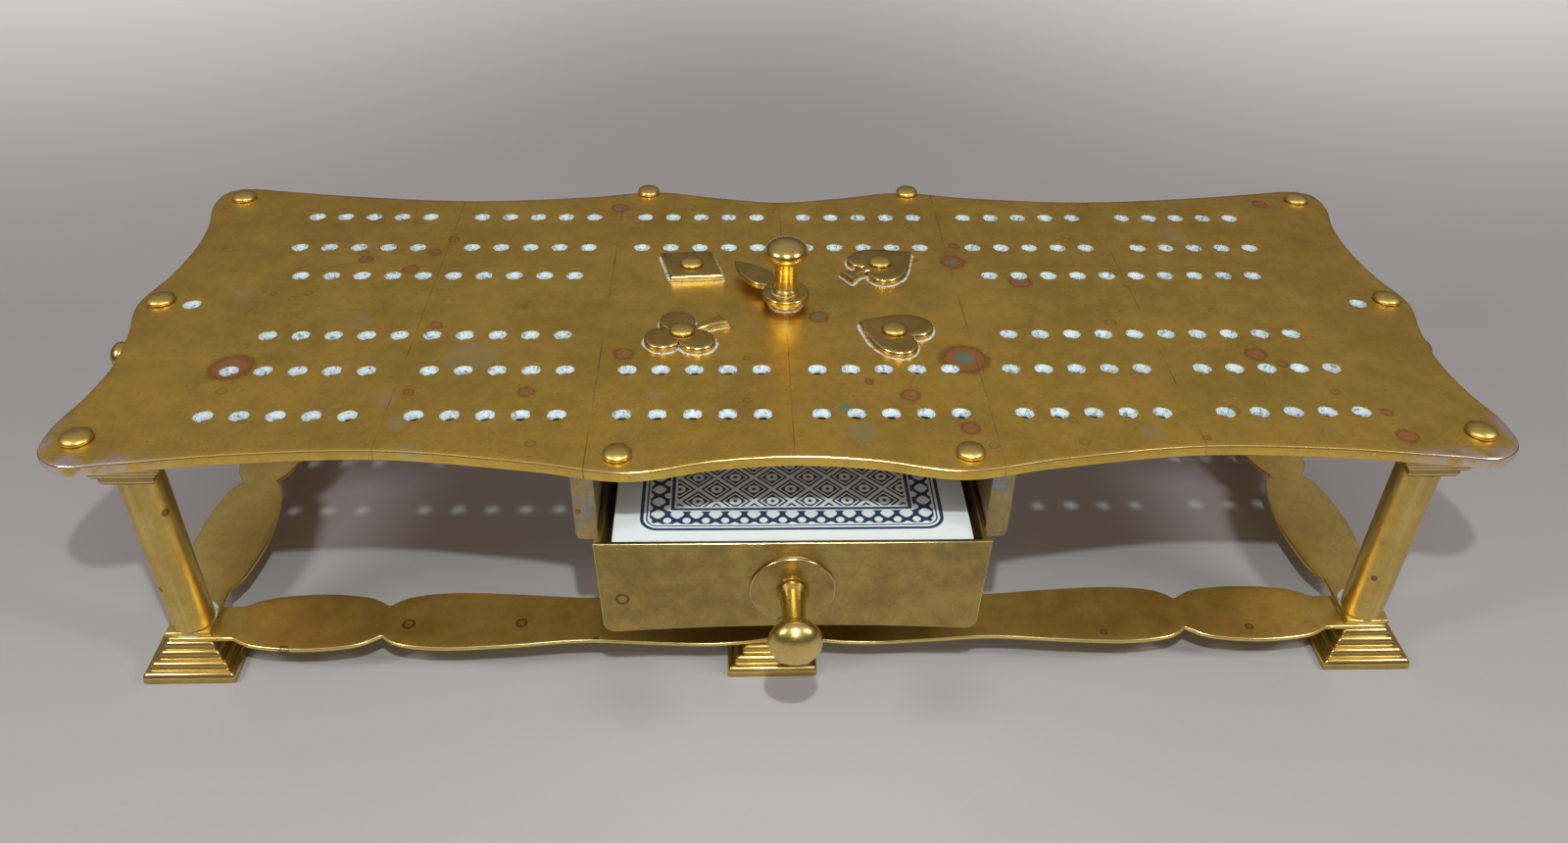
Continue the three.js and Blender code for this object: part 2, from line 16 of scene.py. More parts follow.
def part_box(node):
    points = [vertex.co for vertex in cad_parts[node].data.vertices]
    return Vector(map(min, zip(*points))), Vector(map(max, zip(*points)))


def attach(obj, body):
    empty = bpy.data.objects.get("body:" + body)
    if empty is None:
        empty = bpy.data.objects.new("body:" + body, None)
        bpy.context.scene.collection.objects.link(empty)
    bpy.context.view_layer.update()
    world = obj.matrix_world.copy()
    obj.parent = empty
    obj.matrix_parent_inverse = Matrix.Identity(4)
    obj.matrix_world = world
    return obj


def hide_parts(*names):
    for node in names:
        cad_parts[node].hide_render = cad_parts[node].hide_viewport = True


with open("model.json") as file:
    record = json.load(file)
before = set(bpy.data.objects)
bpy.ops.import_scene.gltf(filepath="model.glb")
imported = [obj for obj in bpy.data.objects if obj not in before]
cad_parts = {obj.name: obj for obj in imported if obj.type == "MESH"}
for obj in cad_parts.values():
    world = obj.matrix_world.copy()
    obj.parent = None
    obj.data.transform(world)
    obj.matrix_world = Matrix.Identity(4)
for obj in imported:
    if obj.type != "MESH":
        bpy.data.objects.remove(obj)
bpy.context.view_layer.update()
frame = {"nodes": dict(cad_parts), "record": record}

MM = 0.001
GAP = 0.1
BODY_OF = {
    node: body
    for body, nodes in frame["record"]["behaviour"]["bodies"].items()
    for node in nodes
}
rng = random.Random(15)


def size_of(node):
    """Width, depth and height of a CAD node, in millimetres."""
    low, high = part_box(node)
    return (high - low) / MM


def middle_of(node):
    low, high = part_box(node)
    return (low + high) / 2


def underside_of(node):
    """The middle of a node's underside."""
    place = middle_of(node)
    place.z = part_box(node)[0].z
    return place


PLATE_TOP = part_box("top_plate")[1].z
PLATE_THICK = size_of("top_plate").z
BOARD_Y = middle_of("top_plate").y


# ---------------------------------------------------------------- material graphs
class Graph:
    """A node material with one Principled shader, and short calls for the nodes it needs."""

    def __init__(self, name, metallic, roughness, coat=0.0):
        self.material = bpy.data.materials.new(name)
        self.material.use_nodes = True
        self.tree = self.material.node_tree
        self.tree.nodes.clear()
        self.shader = self.tree.nodes.new("ShaderNodeBsdfPrincipled")
        output = self.tree.nodes.new("ShaderNodeOutputMaterial")
        self.tree.links.new(self.shader.outputs["BSDF"], output.inputs["Surface"])
        self.shader.inputs["Metallic"].default_value = metallic
        self.shader.inputs["Roughness"].default_value = roughness
        self.shader.inputs["Coat Weight"].default_value = coat
        coordinates = self.tree.nodes.new("ShaderNodeTexCoord").outputs["Object"]
        self.place = self.scaled(coordinates, (1 / MM,) * 3)

    def set(self, socket, value):
        if isinstance(value, bpy.types.NodeSocket):
            self.tree.links.new(value, socket)
        elif isinstance(value, (tuple, list)) and socket.type == "RGBA":
            socket.default_value = (*value[:3], 1)
        else:
            socket.default_value = value

    def to_shader(self, **values):
        for name, value in values.items():
            self.set(self.shader.inputs[name.replace("_", " ")], value)

    def node(self, kind, inputs, **settings):
        """A node with its settings, and a value or another node's output in each named input."""
        made = self.tree.nodes.new(f"ShaderNode{kind}")
        for name, setting in settings.items():
            setattr(made, name, setting)
        for name, value in inputs.items():
            self.set(made.inputs[name], value)
        return made

    def scaled(self, vector, scale):
        return self.node("VectorMath", {0: vector, 1: scale}, operation="MULTIPLY").outputs["Vector"]

    def vector(self, operation, a, b=None):
        inputs = {0: a} if b is None else {0: a, 1: b}
        made = self.node("VectorMath", inputs, operation=operation)
        return made.outputs["Value" if operation == "LENGTH" else "Vector"]

    def math(self, operation, a, b=0.0):
        return self.node("Math", {0: a, 1: b}, operation=operation).outputs["Value"]

    def times(self, a, b):
        return self.math("MULTIPLY", a, b)

    def plus(self, a, b):
        return self.math("ADD", a, b)

    def minus(self, a, b):
        return self.math("SUBTRACT", a, b)

    def absolute(self, a):
        return self.math("ABSOLUTE", a)

    def most(self, a, b):
        return self.math("MAXIMUM", a, b)

    def swing(self, noise, reach):
        """Noise moved to lie about zero, and scaled by reach."""
        return self.times(self.minus(noise, 0.5), reach)

    def laid(self, colour, over, share, strength):
        """A colour laid over another where share is 1, as thickly as strength says."""
        return self.mix(self.times(share, strength), colour, over)

    def parts(self, vector):
        made = self.node("SeparateXYZ", {0: vector})
        return made.outputs["X"], made.outputs["Y"], made.outputs["Z"]

    def noise(self, size, detail=3.0, stretch=(1, 1, 1), roughness=0.55, offset=0.0):
        """Noise whose features are about size millimetres across, from 0 to 1."""
        scaled = self.scaled(self.place, tuple(s / size for s in stretch))
        shifted = self.vector("ADD", scaled, (offset,) * 3)
        inputs = {"Vector": shifted, "Scale": 1, "Detail": detail, "Roughness": roughness}
        return self.node("TexNoise", inputs).outputs["Fac"]

    def cells(self, size):
        """Distance to the nearest of scattered points, in cells, and that point's random colour."""
        scaled = self.scaled(self.place, (1 / size,) * 3)
        made = self.node("TexVoronoi", {"Vector": scaled, "Scale": 1})
        return made.outputs["Distance"], made.outputs["Color"]

    def step(self, value, start, end, low=0.0, high=1.0):
        """A smooth step from low at start to high at end."""
        inputs = {"Value": value, "From Min": start, "From Max": end, "To Min": low, "To Max": high}
        return self.node("MapRange", inputs, interpolation_type="SMOOTHSTEP").outputs["Result"]

    def mix(self, share, a, b):
        """Colour a, or colour b where share is 1."""
        return self.node("Mix", {0: share, 6: a, 7: b}, data_type="RGBA").outputs[2]

    def blend(self, share, a, b):
        """Number a, or number b where share is 1."""
        return self.node("Mix", {0: share, 2: a, 3: b}, data_type="FLOAT").outputs[0]

    def attribute(self, name):
        return self.node("Attribute", {}, attribute_name=name).outputs["Fac"]

    def attribute_channels(self, name):
        colour = self.node("Attribute", {}, attribute_name=name).outputs["Color"]
        split = self.node("SeparateColor", {0: colour})
        return split.outputs[0], split.outputs[1], split.outputs[2]

    def bump(self, height, depth):
        """Raises the surface by height times depth millimetres."""
        inputs = {"Strength": 1, "Distance": depth * MM, "Height": height}
        self.to_shader(Normal=self.node("Bump", inputs).outputs["Normal"])


RESIDUE = (0.66, 0.68, 0.66)
RESIDUE_DARK = (0.17, 0.165, 0.15)
COPPER_STAIN = (0.82, 0.40, 0.14)
COPPER_RIM = (0.46, 0.17, 0.045)
VERDIGRIS = (0.30, 0.60, 0.46)
PALE_STAIN = (0.72, 0.60, 0.30)
WORN_SILVER = (0.84, 0.70, 0.64)


def tarnish_spots(g, colour, mottle, strength, rarity):
    """Brown rings with a copper-coloured middle, left by drops of damp."""
    distance, random_colour = g.cells(10)
    chance, size, _ = g.parts(random_colour)
    reach = g.plus(g.times(size, 0.11), 0.06)
    wobble = g.swing(mottle, 0.07)
    spot = g.math("DIVIDE", g.plus(distance, wobble), reach)
    chosen = g.times(g.step(chance, rarity, rarity + 0.04), strength)
    ring = g.times(g.step(spot, 0.55, 0.9), g.step(spot, 1.3, 1.0))
    colour = g.laid(colour, (0.15, 0.07, 0.02), ring, chosen)
    middle = g.times(g.step(spot, 1.0, 0.6), g.times(chosen, 0.45))
    return g.mix(middle, colour, (0.55, 0.27, 0.085))


def dried_polish(g, wear):
    """Where old polish has dried, and its colour."""
    patchy = g.swing(g.noise(6, 3, offset=81), 1.1)
    caught = g.plus(g.times(wear, -1.0), patchy)
    crumbs = g.step(g.noise(1.1, 3, offset=31), 0.3, 0.5)
    return g.step(caught, 0.48, 0.72), g.mix(crumbs, RESIDUE_DARK, RESIDUE)


def hand_worked_bump(g, mottle, dried):
    """Slow swells, fine grain and the thickness of dried polish."""
    swell = g.times(g.noise(22, 1, offset=5), 0.4)
    height = g.plus(swell, g.times(g.noise(0.5, 2, offset=3), 0.012))
    height = g.plus(height, g.times(mottle, 0.03))
    g.bump(g.plus(height, g.times(dried, 0.12)), 1.0)


def brass(name, dark, light, bright, roughness, tarnish, streaks=0.0, rarity=0.62):
    """Aged brass: dark and light are its two tones, and bright is where handling has polished it.

    The point attribute "wear" is 1 on polished edges and -1 where old polish has dried.
    """
    g = Graph(name, metallic=1.0, roughness=roughness)
    clouds = g.noise(34, 4)
    mottle = g.noise(5, 5, roughness=0.65, offset=7)
    fine = g.noise(1.4, 4, roughness=0.7, offset=51)
    tone = g.plus(g.times(clouds, 0.42), g.times(mottle, 0.36))
    tone = g.step(g.plus(tone, g.times(fine, 0.22)), 0.38, 0.62)
    colour = g.mix(tone, dark, light)
    if streaks:
        along = g.step(g.noise(3.2, 3, stretch=(1, 1, 0.05), offset=61), 0.42, 0.66)
        colour = g.laid(colour, bright, along, streaks)
    specks = g.step(g.noise(0.9, 2, offset=21), 0.66, 0.74)
    colour = g.laid(colour, tuple(c * 0.35 for c in dark), specks, 0.4)
    colour = tarnish_spots(g, colour, mottle, tarnish, rarity)
    wear = g.attribute("wear")
    polished = g.step(g.plus(wear, g.swing(mottle, 0.5)), 0.45, 0.95)
    colour = g.laid(colour, bright, polished, 0.8)
    rough = g.blend(g.noise(8, 4, offset=11), roughness - 0.1, roughness + 0.12)
    rough = g.blend(polished, rough, roughness * 0.62)
    dried, residue = dried_polish(g, wear)
    colour = g.mix(dried, colour, residue)
    g.to_shader(Base_Color=colour)
    g.to_shader(Roughness=g.blend(dried, rough, 0.8))
    g.to_shader(Metallic=g.minus(1.0, g.times(dried, 0.9)))
    hand_worked_bump(g, mottle, dried)
    return g, colour


def plain_brass(*look):
    return brass(*look)[0].material


def plate_brass():
    """The plate's brass, with its engraved lines and the stains painted on the mesh."""
    g, colour = brass("plate_brass", PLATE_TONES[0], PLATE_TONES[1], (0.86, 0.66, 0.26), 0.36, 0.3)
    x, y, _ = g.parts(g.place)
    away = g.absolute(x)
    along_front = g.times(g.step(away, 140, 165), g.step(y, -65, -68.5))
    round_end = g.times(g.step(away, 172, 175), g.step(y, -48, -58))
    corner = g.most(along_front, round_end)
    corner = g.times(corner, g.step(g.plus(g.attribute("wear"), g.noise(5, 3)), 0.36, 0.54))
    colour = g.laid(colour, WORN_SILVER, corner, 0.95)
    copper, green, pale = g.attribute_channels("stains")
    ragged = g.swing(g.noise(2.2, 4, offset=41), 0.45)
    depth = g.plus(copper, ragged)
    green = g.step(g.plus(green, ragged), 0.25, 0.5)
    pale = g.step(g.plus(pale, g.times(ragged, 0.5)), 0.12, 0.3)
    colour = g.laid(colour, PALE_STAIN, pale, 0.5)
    colour = g.laid(colour, COPPER_RIM, g.step(depth, 0.05, 0.3), 0.8)
    colour = g.laid(colour, COPPER_STAIN, g.step(depth, 0.2, 0.5), 0.85)
    colour = g.laid(colour, VERDIGRIS, green, 0.9)
    flecks = g.step(g.noise(0.8, 1, offset=71), 0.70, 0.76)
    dust = g.times(flecks, g.step(g.noise(26, 2, offset=75), 0.5, 0.62))
    colour = g.laid(colour, (0.9, 0.78, 0.5), dust, 0.8)
    for line in SEPARATORS:
        offset = g.absolute(g.minus(away, line))
        offset = g.plus(offset, g.times(g.noise(9, 3, offset=line), 0.22))
        unworn = g.step(g.noise(16, 3, offset=line + 5), 0.36, 0.6)
        cut = g.times(g.step(offset, 0.30, 0.16), unworn)
        colour = g.laid(colour, (0.11, 0.075, 0.03), cut, 0.6)
    near_boss = g.times(g.step(y, -19, -13), g.step(y, -3, -5))
    filled = g.times(g.step(away, 0.42, 0.25), near_boss)
    colour = g.laid(colour, RESIDUE, filled, 0.85)
    g.to_shader(Base_Color=colour)
    return g.material


def residue_material():
    """Dried metal polish, bluish white with grey patches, in the peg holes."""
    g = Graph("dried_polish", metallic=0.0, roughness=0.75)
    patches = g.step(g.noise(1.5, 4, roughness=0.75, offset=2), 0.33, 0.50)
    colour = g.mix(patches, (0.17, 0.21, 0.22), (0.66, 0.76, 0.81))
    g.to_shader(Base_Color=colour)
    g.bump(g.noise(0.6, 3), 0.12)
    return g.material


def paper_material():
    g = Graph("card_edges", metallic=0.0, roughness=0.6)
    _, _, z = g.parts(g.place)
    layers = g.math("SINE", g.times(z, 2 * math.pi / CARD_THICK))
    grey = g.mix(g.noise(3, 3, stretch=(1, 1, 8)), (0.62, 0.64, 0.64), (0.80, 0.82, 0.82))
    g.to_shader(Base_Color=g.mix(g.step(layers, -1, -0.3, 0.35, 0), grey, (0.2, 0.21, 0.22)))
    return g.material


def card_inset(g):
    """How far a point of a card's back lies in from round-cornered frames."""
    half = (CARD_LENGTH / 2 - FRAME_CORNER, CARD_WIDTH / 2 - FRAME_CORNER, 0)
    flat = g.scaled(g.place, (1, 1, 0))
    beyond = g.vector("SUBTRACT", g.vector("ABSOLUTE", flat), half)
    rounded = g.vector("LENGTH", g.vector("MAXIMUM", beyond, (0, 0, 0)))
    x, y, _ = g.parts(beyond)
    inner = g.math("MINIMUM", g.most(x, y), 0.0)
    return g.minus(FRAME_CORNER, g.plus(rounded, inner))


def wave(g, value, pitch):
    return g.math("COSINE", g.times(value, 2 * math.pi / pitch))


def diamond_band(g, x, y):
    diamonds = g.plus(wave(g, x, BAND_PITCH), wave(g, y, BAND_PITCH))
    return g.most(g.step(diamonds, 0.3, 0.45), g.step(diamonds, -1.1, -1.3))


def crossed_field(g, x, y):
    """Crossed lines with a finer pair inside them and a dot in the middle of each cell."""
    one = g.absolute(wave(g, g.plus(x, y), FIELD_PITCH))
    two = g.absolute(wave(g, g.minus(x, y), FIELD_PITCH))
    nearest = g.math("MINIMUM", one, two)
    lattice = g.step(nearest, 0.25, 0.20)
    inner_lines = g.step(g.absolute(g.minus(nearest, 0.55)), 0.10, 0.07)
    both = g.times(one, two)
    centres = g.times(g.step(both, 0.74, 0.80), g.step(both, 0.98, 0.955))
    return g.most(g.most(lattice, inner_lines), centres)


def card_back_material():
    """White card with navy frames, a band of small diamonds and a field of crossed lines."""
    g = Graph("card_back", metallic=0.0, roughness=0.32, coat=0.2)
    navy = g.mix(g.noise(4, 3), (0.018, 0.045, 0.105), (0.028, 0.062, 0.135))
    white = g.mix(g.noise(6, 3, offset=4), (0.80, 0.83, 0.84), (0.88, 0.90, 0.90))
    inset = card_inset(g)
    x, y, _ = g.parts(g.place)
    patterns = {"band": diamond_band(g, x, y), "field": crossed_field(g, x, y)}
    colour = white
    for low, high, pattern in CARD_FRAMES:
        from_low = g.step(inset, low - PRINT_EDGE, low + PRINT_EDGE)
        share = g.times(from_low, g.step(inset, high + PRINT_EDGE, high - PRINT_EDGE))
        ink = g.mix(patterns[pattern], navy, white) if pattern else navy
        colour = g.mix(share, colour, ink)
    g.to_shader(Base_Color=colour)
    return g.material


def solder_brass():
    """Sheet brass with grey and white patches of old solder and polish."""
    g, colour = brass("grey_brass", (0.34, 0.24, 0.10), (0.52, 0.38, 0.17), (0.8, 0.62, 0.33), 0.42, 0.6)
    patches = g.step(g.noise(7, 5, stretch=(1, 1, 0.5), offset=13), 0.47, 0.6)
    colour = g.mix(patches, colour, g.mix(g.noise(2, 4), (0.16, 0.16, 0.15), (0.5, 0.5, 0.48)))
    g.to_shader(Base_Color=colour)
    return g.material


# ---------------------------------------------------------------- outlines
class Outline:
    """A closed outline drawn with lines and curves, as points in millimetres."""

    def __init__(self, x, y, steps=10):
        self.points = [(x, y)]
        self.steps = steps

    def line(self, x, y):
        self.points.append((x, y))
        return self

    def curve(self, *controls):
        """A Bezier curve from the last point through one or two control points to the last pair."""
        points = [self.points[-1], *controls]
        degree = len(points) - 1
        for i in range(1, self.steps + 1):
            t = i / self.steps
            weights = [math.comb(degree, k) * t**k * (1 - t) ** (degree - k) for k in range(degree + 1)]
            self.points.append(tuple(sum(w * p[axis] for w, p in zip(weights, points)) for axis in (0, 1)))
        return self

    def arc(self, x, y, radius, start, end):
        """An anticlockwise arc about x, y, with its angles in radians."""
        if end < start:
            end += 2 * math.pi
        count = max(3, round(self.steps * (end - start) / 1.2))
        for i in range(count + 1):
            angle = start + (end - start) * i / count
            self.points.append((x + radius * math.cos(angle), y + radius * math.sin(angle)))
        return self

    def done(self):
        """The points without repeats, anticlockwise."""
        kept = []
        for point in self.points:
            if not kept or math.dist(point, kept[-1]) > 0.02:
                kept.append(point)
        if math.dist(kept[0], kept[-1]) < 0.02:
            kept.pop()
        area = sum(a[0] * b[1] - b[0] * a[1] for a, b in zip(kept, kept[1:] + kept[:1]))
        return kept if area > 0 else kept[::-1]


def circle(x, y, radius, sides=24):
    angles = [2 * math.pi * i / sides for i in range(sides)]
    return [(x + radius * math.cos(a), y + radius * math.sin(a)) for a in angles]


def mirrored(quarter):
    """A whole outline from the quarter that runs from the +Y axis round to the +X axis."""
    right = quarter + [(x, -y) for x, y in quarter[-2::-1]]
    left = [(-x, y) for x, y in right[-2:0:-1]]
    return right + left


def spline(points, steps, closed=False):
    """A Catmull-Rom spline through the points, centripetal where it is closed."""
    count = len(points)
    spans = count if closed else count - 1
    at = [np.array(p, float) for p in points]

    def point(i):
        return at[i % count] if closed else at[min(max(i, 0), count - 1)]

    made = []
    for i in range(spans):
        p0, p1, p2, p3 = (point(i + k) for k in (-1, 0, 1, 2))
        if closed:
            d0, d1, d2 = (math.sqrt(np.linalg.norm(b - a)) or 1 for a, b in ((p0, p1), (p1, p2), (p2, p3)))
            m1 = ((p1 - p0) / d0 - (p2 - p0) / (d0 + d1) + (p2 - p1) / d1) * d1
            m2 = ((p2 - p1) / d1 - (p3 - p1) / (d1 + d2) + (p3 - p2) / d2) * d1
        else:
            m1, m2 = (p2 - p0) / 2, (p3 - p1) / 2
        for k in range(steps):
            t = k / steps
            made.append((2 * t**3 - 3 * t**2 + 1) * p1 + (t**3 - 2 * t**2 + t) * m1
                        + (3 * t**2 - 2 * t**3) * p2 + (t**3 - t**2) * m2)
    if not closed:
        made.append(at[-1])
    return [tuple(p) for p in made]


def distance_to(points, loop):
    """Distance from each of the points to a closed loop, as an array."""
    p = np.array(points, float)[:, None, :]
    a = np.array(loop, float)[None]
    b = np.roll(a, -1, axis=1)
    along = np.clip(((p - a) * (b - a)).sum(2) / np.maximum(((b - a) ** 2).sum(2), 1e-12), 0, 1)
    return np.linalg.norm(p - a - along[..., None] * (b - a), axis=2).min(1)


def inside(points, loop):
    """Which of the points lie inside a closed loop."""
    p = np.array(points, float)
    a = np.array(loop, float)
    b = np.roll(a, -1, axis=0)
    x, y = p[:, 0, None], p[:, 1, None]
    crosses = (a[:, 1] > y) != (b[:, 1] > y)
    slope = (b[:, 0] - a[:, 0]) / np.where(b[:, 1] == a[:, 1], 1e-12, b[:, 1] - a[:, 1])
    return (crosses & (x < a[:, 0] + (y - a[:, 1]) * slope)).sum(1) % 2 == 1


def pulled_in(loop, distance):
    """The loop moved towards its left-hand side, which is the material of an anticlockwise outline."""
    if distance < 1e-6:
        return list(loop)
    p = np.array(loop, float)
    before, after = p - np.roll(p, 1, axis=0), np.roll(p, -1, axis=0) - p
    before /= np.linalg.norm(before, axis=1)[:, None]
    after /= np.linalg.norm(after, axis=1)[:, None]
    turn = before[:, 0] * after[:, 1] - before[:, 1] * after[:, 0]
    tangent = before + after
    tangent /= np.maximum(np.linalg.norm(tangent, axis=1), 1e-9)[:, None]
    half_turn_cosine = np.maximum((tangent * after).sum(1), 0.35)
    reach = np.where(turn > 0, distance / half_turn_cosine, distance)
    moved = p + np.stack([-tangent[:, 1], tangent[:, 0]], 1) * reach[:, None]
    clear = distance_to(moved, loop) > distance * 0.93
    if clear.any() and not clear.all():
        good = np.flatnonzero(clear)
        for i in np.flatnonzero(~clear):
            apart = np.abs(good - i)
            moved[i] = moved[good[np.argmin(np.minimum(apart, len(loop) - apart))]]
    return [tuple(q) for q in moved]


# ---------------------------------------------------------------- solids
class Solid:
    """Points in millimetres with their wear, and faces with their material's number."""

    def __init__(self):
        self.points = []
        self.wear = []
        self.faces = []
        self.slots = []

    def add_points(self, points, wear=0.0):
        start = len(self.points)
        self.points += [tuple(p) for p in points]
        self.wear += [wear] * len(points) if isinstance(wear, (int, float)) else list(wear)
        return start

    def add_face(self, corners, slot=0):
        unique = [c for i, c in enumerate(corners) if self.points[c] != self.points[corners[i - 1]]]
        if len(unique) > 2:
            self.faces.append(unique)
            self.slots.append(slot)

    def add(self, other):
        start = len(self.points)
        self.points += other.points
        self.wear += other.wear
        self.faces += [[start + c for c in face] for face in other.faces]
        self.slots += other.slots
        return self

    def bands(self, rings, count, slots=None, closed=False):
        """Faces between rings of points that were added one after the other."""
        pairs = list(zip(rings, rings[1:]))
        if closed:
            pairs.append((rings[-1], rings[0]))
        for band, (low, high) in enumerate(pairs):
            for i in range(count):
                j = (i + 1) % count
                self.add_face([low + i, low + j, high + j, high + i], slots[band] if slots else 0)

    def caps(self, rings, count):
        """Closes the first and the last ring."""
        self.add_face([rings[0] + i for i in range(count)][::-1])
        self.add_face([rings[-1] + i for i in range(count)])

    def mapped(self, function):
        self.points = [tuple(function(*p)) for p in self.points]
        return self

    def upright(self):
        """A slab drawn in x and height stands up, its thickness towards -Y."""
        return self.mapped(lambda x, y, z: (x, -z, y))

    def upside_down(self):
        return self.mapped(lambda x, y, z: (x, -y, -z))

    def along_x(self):
        return self.mapped(lambda x, y, z: (z, y, -x))


def turned(profile, sides=48, closed=False):
    """A turned piece about +Z. Profile points are radius, height and optionally wear."""
    solid = Solid()
    rings = []
    for radius, height, *wear in profile:
        ring = [(x, y, height) for x, y in circle(0, 0, max(radius, 0.001), sides)]
        rings.append(solid.add_points(ring, wear[0] if wear else 0.0))
    solid.bands(rings, sides, closed=closed)
    if not closed:
        solid.caps(rings, sides)
    return solid


def softened(profile, radius, steps=4, wear=0.9, hollow=None):
    """The profile with each corner rounded to about radius, worn where it sticks out, and with dried
    polish in its hollows."""
    hollow = wear if hollow is None else hollow
    made = [profile[0]]
    for before, corner, after in zip(profile, profile[1:], profile[2:]):
        back = (before[0] - corner[0], before[1] - corner[1])
        on = (after[0] - corner[0], after[1] - corner[1])
        back_length, on_length = math.hypot(*back), math.hypot(*on)
        cut = min(radius, back_length * 0.45, on_length * 0.45)
        start = (corner[0] + back[0] / back_length * cut, corner[1] + back[1] / back_length * cut)
        end = (corner[0] + on[0] / on_length * cut, corner[1] + on[1] / on_length * cut)
        sticks_out = back[0] * on[1] - back[1] * on[0] < 0
        for i in range(steps + 1):
            t = i / steps
            ends = zip(start, corner[:2], end)
            x, z = ((1 - t) ** 2 * s + 2 * t * (1 - t) * c + t**2 * e for s, c, e in ends)
            made.append((x, z, (wear if sticks_out else -hollow) * math.sin(math.pi * t) ** 0.5))
    made.append(profile[-1])
    return made


def dome(radius, rise, base, steps=10):
    """Profile points over a rounded head, from its widest place to the axis."""
    angles = [math.pi / 2 * i / steps for i in range(steps + 1)]
    return [(radius * math.cos(a), base + rise * math.sin(a)) for a in angles]


def squared(profile, corner=0.5, steps=3):
    """A square block about +Z. Profile points are half width, height and optionally wear."""
    solid = Solid()
    rings = []
    for half, height, *wear in profile:
        round_corner = min(corner, half * 0.5)
        straight = half - round_corner
        ring = []
        for quarter in range(4):
            sx, sy = ((1, 1), (-1, 1), (-1, -1), (1, -1))[quarter]
            for i in range(steps + 1):
                angle = math.pi / 2 * (quarter + i / steps)
                ring.append((sx * straight + round_corner * math.cos(angle),
                             sy * straight + round_corner * math.sin(angle), height))
        rings.append(solid.add_points(ring, wear[0] if wear else 0.0))
    count = 4 * (steps + 1)
    solid.bands(rings, count)
    solid.caps(rings, count)
    return solid


def edge_levels(thick, low, high, steps=4):
    """How far in, how high and how worn each ring of a slab's rounded edge is."""
    angles = [math.pi / 2 * i / steps for i in range(steps + 1)]
    levels = [(low * (1 - math.sin(a)), low * (1 - math.cos(a))) for a in angles]
    levels += [(high * (1 - math.cos(a)), thick - high * (1 - math.sin(a))) for a in angles]
    for number, (inward, height) in enumerate(levels):
        from_end = min(number, len(levels) - 1 - number)
        yield inward, height, math.sin(math.pi * from_end / steps) ** 0.7


def slab(outline, thick, top_round, low_round=None, holes=(), pitch=None, hole_slot=0, dried=()):
    """A flat piece with rounded edges. Holes are x, y, radius.

    Pitch is the spacing of the points inside its upper face, and polish has dried on it beside the
    loops listed in dried.
    """
    low_round = top_round if low_round is None else low_round
    solid = Solid()
    loops = [(outline, False)]
    loops += [(circle(x, y, radius, 28)[::-1], True) for x, y, radius in holes]
    tops, lows = [], []
    for loop, is_hole in loops:
        if is_hole and hole_slot:
            rings, count = crusted_hole(solid, loop, thick, hole_slot)
            tops.append((rings[-1], count))
            lows.append((rings[0], count))
            continue
        rings = []
        for inward, height, worn in edge_levels(thick, low_round, top_round):
            flat = pulled_in(loop, inward)
            rings.append(solid.add_points([(x, y, height) for x, y in flat], worn))
        solid.bands(rings, len(loop))
        tops.append((rings[-1], len(loop)))
        lows.append((rings[0], len(loop)))
    for is_top, ends in ((True, tops), (False, lows)):
        fill(solid, ends, holes, pitch if is_top else None, thick, dried, is_top)
    return solid


def crusted_hole(solid, loop, thick, slot):
    """The wall of a peg hole, with a crust of dried polish that narrows it towards the bottom."""
    x, y = np.array(loop).mean(0)
    size = rng.uniform(0.65, 1.2)
    phase, second = rng.uniform(0, 6.28), rng.uniform(0, 6.28)
    bare = [(-0.26, 0.0), (-0.06, 0.07), (0.0, 0.28)]
    crust = [(0.50, 0.42), (0.66, 0.85), (0.5, 1.4), (0.26, 1.95), (0.08, 2.4), (0.0, 2.62)]
    rim = [(0.0, thick - 0.2), (-0.06, thick - 0.06), (-0.2, thick)]
    rings, slots = [], []
    for number, (narrowing, height) in enumerate(bare + crust + rim):
        ring = []
        crusted = len(bare) <= number < len(bare) + len(crust)
        for px, py in loop:
            angle = math.atan2(py - y, px - x)
            uneven = 1 + 0.3 * math.sin(angle + phase) + 0.18 * math.sin(3 * angle + second)
            inward = narrowing * size * uneven if crusted else narrowing
            radius = math.hypot(px - x, py - y) - inward
            ring.append((x + radius * math.cos(angle), y + radius * math.sin(angle), height))
        rings.append(solid.add_points(ring, 0.9 if number == len(bare + crust + rim) - 2 else 0.0))
        slots.append(slot if len(bare) - 1 <= number < len(bare) + len(crust) - 1 else 0)
    solid.bands(rings, len(loop), slots)
    return rings, len(loop)


FINE_PITCH, FINE_REACH = 0.62, 1.9
DRIED_REACH = 1.5


def grid_over(loop, margin, pitch):
    """A square grid of points over a loop and a margin round it."""
    xs, ys = zip(*loop)
    return np.array([(x, y) for x in np.arange(min(xs) - margin, max(xs) + margin, pitch)
                     for y in np.arange(min(ys) - margin, max(ys) + margin, pitch)])


def clear_of(points, holes, margin):
    """Which of the points lie further than margin from the rim of every hole."""
    clear = np.ones(len(points), bool)
    for x, y, radius in holes:
        clear &= np.hypot(points[:, 0] - x, points[:, 1] - y) > radius + margin
    return clear


def fine_points(outer, holes, dried):
    """A close grid beside the loops where polish has dried, so that its edge is crisp."""
    made = []
    for loop in dried:
        grid = grid_over(loop, FINE_REACH, FINE_PITCH)
        keep = (distance_to(grid, loop) < FINE_REACH) & inside(grid, outer)
        keep &= (distance_to(grid, outer) > FINE_PITCH) & clear_of(grid, holes, FINE_PITCH)
        made += [tuple(p) for p in grid[keep]]
    return made


